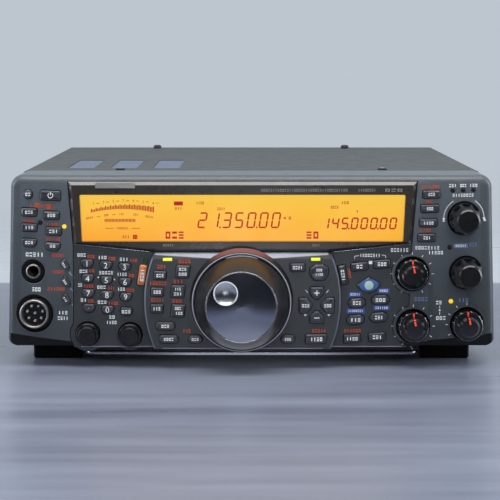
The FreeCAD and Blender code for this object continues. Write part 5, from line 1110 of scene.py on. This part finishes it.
# dial face: a spun metal disc inside a polished ring, with a hollow for a fingertip
dial = {"x": -5.4, "z": 37.4, "face": 18.95, "front": -29.42, "crown": 0.42, "rings": 9, "cone": 0.15,
        "bowl": 0.08, "dish": 19.0}
dialLine = {"x": -5.4, "z": 37.4, "outer": 19.55, "inner": 19.0, "front": -29.98, "thick": 0.5, "round": 0.24,
            "segments": 4, "corners": 160}
# painted highlight: a pale band along the collar's front edge, where it catches the light
collarHighlight = {"x": -5.4, "z": 37.4, "outer": 27.4, "inner": 26.85, "front": -9.55, "thick": 0.5, "round": 0.12,
              "corners": 160}
cup = {"x": -13.87, "z": 45.03, "radius": 6.65}
spunTone = {"clean": (158, 163, 180), "worn": (178, 184, 200), "polish": 0.17, "dull": 0.22}


def makeSpunMetal(settings):  # turned face: fine rings, each leaning a little outwards
    finish, tree, shader, place = startFinish("spunFace", {"Metallic": 1.0})
    squared, reach, _ = addDistance(tree, place, dial["x"], dial["z"])
    lean = addMath(tree, "MULTIPLY", reach, -dial["cone"])
    bowl = addMath(tree, "MULTIPLY", squared, -dial["bowl"] / (2 * dial["dish"] * mm))
    spread = tree.nodes.new("ShaderNodeCombineXYZ")
    tree.links.new(reach, spread.inputs[0])
    rings = addNoise(tree, spread.outputs[0], 9000.0, 4.0, 0.7)
    colour = addMix(tree, rings, tone(*settings["clean"]), tone(*settings["worn"]))
    tree.links.new(colour, shader.inputs["Base Color"])
    tree.links.new(addRange(tree, rings, 0.3, 0.7, settings["polish"], settings["dull"]), shader.inputs["Roughness"])
    height = addMath(tree, "ADD", addMath(tree, "ADD", lean, bowl), addMath(tree, "MULTIPLY", rings, 0.003 * mm))
    addBump(tree, shader, height, 1 / mm)
    return finish


def makeDialFace():
    face = startCircle(dial["x"], dial["z"], dial["face"], dial["front"], 128, filled=True)
    turnFront(face)
    selectWhere(face, lambda part: True)
    step = dial["face"] / (dial["rings"] + 1)
    for order in range(dial["rings"]):
        low, high = [1 - ((order + after) * step / dial["face"] - 1) ** 2 for after in (0, 1)]
        bpy.ops.mesh.inset(thickness=step * mm, depth=(high - low) * dial["crown"] * mm)
    leaveEdit()
    thicken(face, 0.05 * mm)
    return face


def sinkCup(face):  # opens the face over the fingertip hollow
    drill = startCircle(cup["x"], cup["z"], cup["radius"] + 0.05, dial["front"] - 2.0, 96, filled=True)
    selectWhere(drill, lambda part: True)
    bpy.ops.mesh.extrude_region_move(TRANSFORM_OT_translate={"value": (0, 4 * mm, 0)})
    closeSkin()
    pickOnly(face)
    cut = face.modifiers.new("cut", "BOOLEAN")
    cut.operation = "DIFFERENCE"
    cut.solver = "EXACT"
    cut.object = drill
    bpy.ops.object.modifier_apply(modifier=cut.name)
    bpy.data.objects.remove(drill)
    return face


finishPiece(sinkCup(makeDialFace()), "dialFace", "dial", makeSpunMetal(spunTone), 20)
makeBand("dialRing", "dial", finishMade["bright_metal"], dialLine)
makeBand("collarHighlight", "case", inkMade["collarHighlightInk"], collarHighlight)
print("dial dressed")

# bright line round each double knob
knobLine = {"outer": 8.15, "inner": 7.95, "front": -6.12, "thick": 0.3, "round": 0.06}
for knob, (x, z) in pointers.items():
    makeBand(knob + "_ring_line", knob + "_ring", finishMade["bright_metal"],
             {"x": x, "z": z, **knobLine})

# painted shade: black linings in the hollows of the panel, darkening them where shade falls
shadeLinings = {  # x, z, radius, inner radius, floor depth, carrier
    "offsetLining": (118.0, 83.1, 9.7, 5.8, 5.9, "front_panel"),
    "channelLining": (119.4, 52.7, 9.7, 5.8, 5.9, "front_panel"),
    "audioLining": (89.4, 52.3, 9.9, 5.8, 5.9, "front_panel"),
    "monitorLining": (90.2, 22.9, 9.9, 5.8, 5.9, "front_panel"),
    "squelchLining": (120.3, 23.7, 9.9, 5.8, 5.9, "front_panel"),
    "filterLiningLeft": (-91.2, 18.5, 7.3, 5.2, 5.9, "centre_fascia"),
    "filterLiningRight": (-67.5, 18.1, 7.3, 5.2, 5.9, "centre_fascia"),
    "microphoneLining": (-121.0, 29.7, 11.0, 8.4, 5.9, "front_panel"),
    "headphoneLining": (-121.5, 53.3, 7.1, 3.9, 5.05, "front_panel"),
}
deepestMouth = 5.0
rimWide = 0.28  # of the sloping edge inside a mouth


def mouthDepth(carrier, vertex, x, z, reach):  # how deep the carrier's front lies just outside a mouth
    out = Vector((vertex.co.x - x * mm, 0, vertex.co.z - z * mm)).normalized() * reach * mm
    depth = surfaceDepth(carrier, (vertex.co.x + out.x) / mm, (vertex.co.z + out.z) / mm)
    return min(depth, frontPlane + deepestMouth * mm)


def makeShadeLining(name, settings):
    x, z, radius, inner, floorDepth, carrier = settings
    lining = startCircle(x, z, radius, 0.0, 72)
    selectWhere(lining, lambda edge: True, "EDGE")
    growRing(spot(x, 0.0, z), 1.0, floorDepth)
    growRing(spot(x, floorDepth, z), inner / radius, 0.0)
    leaveEdit()
    for vertex in lining.data.vertices:
        if vertex.co.y < frontPlane + 0.01 * mm:
            vertex.co.y = mouthDepth(carrier, vertex, x, z, 0.5) + 0.06 * mm
    turnInwards(lining, x, z)
    thicken(lining, 0.1 * mm)
    return finishPiece(lining, name, "case", finishMade["well_black"], 50)


def turnInwards(lining, x, z):  # faces look at the hollow's axis or at the front
    axis = Vector((x * mm, 0, z * mm))

    def looksAway(face):
        middle = faceMiddle(face)
        inward = axis - Vector((middle.x, 0, middle.z))
        return face.normal.y > 0.5 or (abs(face.normal.y) < 0.5 and face.normal.dot(inward) < 0)
    selectWhere(lining, looksAway)
    bpy.ops.mesh.flip_normals()
    leaveEdit()


def makeRimCatch(name, settings):  # narrow sloping edge inside the mouth of a hollow
    x, z, radius, _, _, carrier = settings
    rim = startCircle(x, z, radius - 0.01, 0.0, 72)
    selectWhere(rim, lambda edge: True, "EDGE")
    growRing(spot(x, 0.0, z), (radius - rimWide) / radius, rimWide)
    leaveEdit()
    for vertex in rim.data.vertices:
        vertex.co.y += mouthDepth(carrier, vertex, x, z, 0.8) - frontPlane + 0.02 * mm
    turnInwards(rim, x, z)
    thicken(rim, 0.06 * mm)
    return finishPiece(rim, name, "case", finishMade["rim_satin"], 50)


for name, settings in shadeLinings.items():
    makeShadeLining(name, settings)
    makeRimCatch(name.replace("Lining", "Rim"), settings)
print("hollows lined")

# blue oval with a pale disc on the lens key
lensOval = {"x": 65.3, "z": 46.0, "wide": 10.4, "high": 6.6, "tilt": -6.0, "thick": 0.5, "rise": 0.35, "disc": 5.0}


def makeOval(name, settings, wide, high, lift, ink):
    oval = startCircle(0.0, 0.0, 0.5, 0.0, 64, filled=True)
    oval.data.transform(Matrix.Translation((0, -frontPlane, 0)))
    oval.data.transform(Matrix.Diagonal((wide, 1, high, 1)))
    turnFront(oval)
    selectWhere(oval, lambda face: True)
    bpy.ops.mesh.extrude_region_move(TRANSFORM_OT_translate={"value": (0, -settings["thick"] * mm, 0)})
    for share in (0.12, 0.16, 0.2):
        bpy.ops.mesh.inset(thickness=share * high * mm / 1.6, depth=settings["rise"] * share * 1.6 * mm)
    leaveEdit()
    front = keyCaps["lens_key"].ray_cast(Vector((settings["x"] * mm, rayStart, settings["z"] * mm)), deepAxis)[1].y
    oval.data.transform(Matrix.Translation((settings["x"] * mm, front + (0.2 - lift) * mm, settings["z"] * mm))
                        @ Matrix.Rotation(math.radians(settings["tilt"]), 4, "Y"))
    return finishPiece(oval, name, "lens_key", inkMade[ink], 50)


makeOval("lensOval", lensOval, lensOval["wide"], lensOval["high"], 0.0, "lensBlue")
makeOval("lensDisc", lensOval, lensOval["disc"], lensOval["disc"], 0.32, "paleDisc")
print("lens key dressed")

# microphone contacts: seven round one in the middle
contacts = {"x": -121.0, "z": 29.7, "circle": 4.4, "count": 7, "radius": 0.75, "front": 3.2, "back": 6.4}
bpy.ops.mesh.primitive_cylinder_add(vertices=16, radius=contacts["radius"] * mm,
                                    depth=(contacts["back"] - contacts["front"]) * mm, rotation=upright)
sourcePin = bpy.context.object
applyPlace(sourcePin)
roundFront(sourcePin, -1.5 * mm, 0.5 * mm, 4)
pins = []
for step in range(contacts["count"] + 1):
    angle = math.pi + 2 * math.pi * step / contacts["count"]
    reach = contacts["circle"] if step < contacts["count"] else 0.0
    pin = copyPiece("pin", sourcePin)
    pin.data.transform(Matrix.Translation(spot(contacts["x"] + reach * math.sin(angle),
                                               (contacts["front"] + contacts["back"]) / 2,
                                               contacts["z"] + reach * math.cos(angle))))
    pins.append(pin)
finishPiece(joinAll(pins), "microphoneContacts", "case", finishMade["pin_satin"])

for source in list(shapes.values()) + [roundLens, barLens, sourcePin]:
    bpy.data.objects.remove(source)

# floor, light and camera
# dim, glint and sheen are painted reflections, seen only in glossy rays
floorLook = {"near": (112, 119, 137), "nearLight": (136, 143, 161), "far": (189, 198, 207), "edge": 216.0,
             "size": 12.0, "fadeFrom": 0.55, "fadeTo": 0.95, "ahead": (-0.27, -0.38),
             "dim": (0.025, 0.026, 0.03, 1.0), "glint": (6.0, 6.1, 6.3, 1.0), "glintAt": -0.56,
             "glintAcross": (0.035, 0.08), "glintAlong": (0.08, 0.2), "sheen": (0.46, 0.48, 0.56, 1.0),
             "sheenFrom": (-0.262, -0.215)}


def mixShaders(tree, factor, first, second):
    node = tree.nodes.new("ShaderNodeMixShader")
    for socket, item in zip(node.inputs, (factor, first, second)):
        tree.links.new(item, socket)
    return node.outputs[0]


def addLight(tree, kind, colour, strength=1.0):
    node = tree.nodes.new("ShaderNode" + kind)
    node.inputs["Strength"].default_value = strength
    feed(tree, node.inputs["Color"], colour)
    return node.outputs[0]


def makeFloor(settings):
    bpy.ops.mesh.primitive_plane_add(size=settings["size"], location=(0, 0, 0))
    floor = bpy.context.object
    floor.name = "floor"
    finish, tree, shader, place = startFinish("floorSheet", {"Specular IOR Level": 0.3})
    parts = splitPlace(tree, place)
    path = tree.nodes.new("ShaderNodeLightPath").outputs
    streaks = addGroup(tree, "brushed", Place=place, Stretch=(3.0, 26.0, 1.0))["Lines"]
    near = addMix(tree, addRange(tree, streaks, 0.35, 0.65), tone(*settings["near"]), tone(*settings["nearLight"]))
    beyond = addRange(tree, parts["Y"], (settings["edge"] - 3) * mm, (settings["edge"] + 6) * mm)
    tree.links.new(addMix(tree, beyond, near, tone(*settings["far"])), shader.inputs["Base Color"])
    tree.links.new(addRange(tree, streaks, 0.3, 0.7, 0.26, 0.38), shader.inputs["Roughness"])
    # far off, the floor fades into the backdrop
    length = tree.nodes.new("ShaderNodeVectorMath")
    length.operation = "LENGTH"
    tree.links.new(place, length.inputs[0])
    outward = addRange(tree, length.outputs["Value"], settings["fadeFrom"], settings["fadeTo"])
    behind = addRange(tree, parts["Y"], 0.1, 0.5)
    mirrored = addMath(tree, "MAXIMUM", path["Is Glossy Ray"], path["Is Transmission Ray"])
    shown = addMath(tree, "MAXIMUM", path["Is Camera Ray"], addMath(tree, "MULTIPLY", mirrored, behind))
    plain = addLight(tree, "Emission", tone(*settings["far"]))
    look = mixShaders(tree, addMath(tree, "MULTIPLY", outward, shown), shader.outputs[0], plain)
    # painted reflections: for glossy rays the floor ahead of the set shows dim, with a painted bright glint patch and
    # a painted sheen close by
    across = addMath(tree, "ABSOLUTE", parts["X"])
    along = addMath(tree, "ABSOLUTE", addMath(tree, "SUBTRACT", parts["Y"], settings["glintAt"]))
    aside = addRange(tree, across, *settings["glintAcross"], 1.0, 0.0)
    patch = addMath(tree, "MULTIPLY", aside, addRange(tree, along, *settings["glintAlong"], 1.0, 0.0))
    close = addMath(tree, "MULTIPLY", aside, addRange(tree, parts["Y"], *settings["sheenFrom"]))
    seen = addMix(tree, close, addMix(tree, patch, settings["dim"], settings["glint"]), settings["sheen"])
    ahead = addMath(tree, "MAXIMUM", addRange(tree, parts["Y"], *settings["ahead"]), close)
    paintedReflections = mixShaders(tree, addMath(tree, "MULTIPLY", ahead, path["Is Glossy Ray"]), look,
                        addLight(tree, "Emission", seen))
    tree.links.new(paintedReflections, tree.nodes["Material Output"].inputs["Surface"])
    floor.data.materials.append(finish)


makeFloor(floorLook)

backdrop = {"seen": (189, 198, 207), "room": (0.02, 0.022, 0.026, 1.0), "high": (0.3, 0.33, 0.38, 1.0),
            "fill": (0.9, 0.92, 0.94, 1.0), "fillStrength": 0.42}


def makeWorld(settings):  # pale backdrop behind the set, a dim room on the viewer's side
    world = bpy.context.scene.world or bpy.data.worlds.new("studio")
    bpy.context.scene.world = world
    world.use_nodes = True
    tree = world.node_tree
    tree.nodes.clear()
    parts = splitPlace(tree, tree.nodes.new("ShaderNodeTexCoord").outputs["Generated"])
    path = tree.nodes.new("ShaderNodeLightPath").outputs
    seen = tone(*settings["seen"])
    above = addMix(tree, addRange(tree, parts["Z"], 0.35, 0.9), settings["room"], settings["high"])
    mirrored = addMix(tree, addRange(tree, parts["Y"], -0.1, 0.35), above, seen)
    reflected = addMath(tree, "MAXIMUM", path["Is Glossy Ray"], path["Is Transmission Ray"])
    light = addLight(tree, "Background", settings["fill"], settings["fillStrength"])
    light = mixShaders(tree, reflected, light, addLight(tree, "Background", mirrored))
    light = mixShaders(tree, path["Is Camera Ray"], light, addLight(tree, "Background", seen))
    tree.links.new(light, tree.nodes.new("ShaderNodeOutputWorld").inputs["Surface"])


makeWorld(backdrop)

lamps = {  # place, aimed at, size across and up, power, colour
    "topSoftbox": ((0.0, -0.34, 1.15), (0.0, -0.05, 0.05), (1.5, 0.5), 13.0, (1.0, 0.99, 0.97)),
    "frontFill": ((0.05, -1.6, 0.62), (0.0, -0.15, 0.05), (1.4, 0.5), 7.0, (0.98, 0.99, 1.0)),
    "leftStrip": ((-1.2, -0.1, 0.3), (0.0, -0.12, 0.05), (0.3, 0.8), 5.0, (0.88, 0.9, 1.0)),
    "rightStrip": ((1.2, -0.1, 0.3), (0.0, -0.12, 0.05), (0.3, 0.8), 6.0, (0.88, 0.9, 1.0)),
    "backFill": ((0.5, 1.6, 0.8), (0.0, 0.15, 0.05), (1.2, 0.7), 6.0, (0.98, 0.99, 1.0)),
}
for name, (place, aim, size, power, colour) in lamps.items():
    bpy.ops.object.light_add(type="AREA", location=place)
    lamp = bpy.context.object
    lamp.name = name
    lamp.data.shape = "RECTANGLE"
    lamp.data.size, lamp.data.size_y = size
    lamp.data.energy = power
    lamp.data.color = colour
    lamp.visible_glossy = not name.endswith("Fill")
    lamp.rotation_euler = (Vector(aim) - Vector(place)).to_track_quat("-Z", "Y").to_euler()

view = {"place": (-0.000746, -1.1432, 0.17222), "tilt": 83.837, "lens": 128.9, "sensor": 36.0}
bpy.ops.object.camera_add(location=view["place"], rotation=(math.radians(view["tilt"]), 0, 0))
camera = bpy.context.object
camera.data.lens = view["lens"]
camera.data.sensor_width = view["sensor"]
bpy.context.scene.camera = camera
bpy.context.scene.view_settings.view_transform = "Standard"
print("stage set")
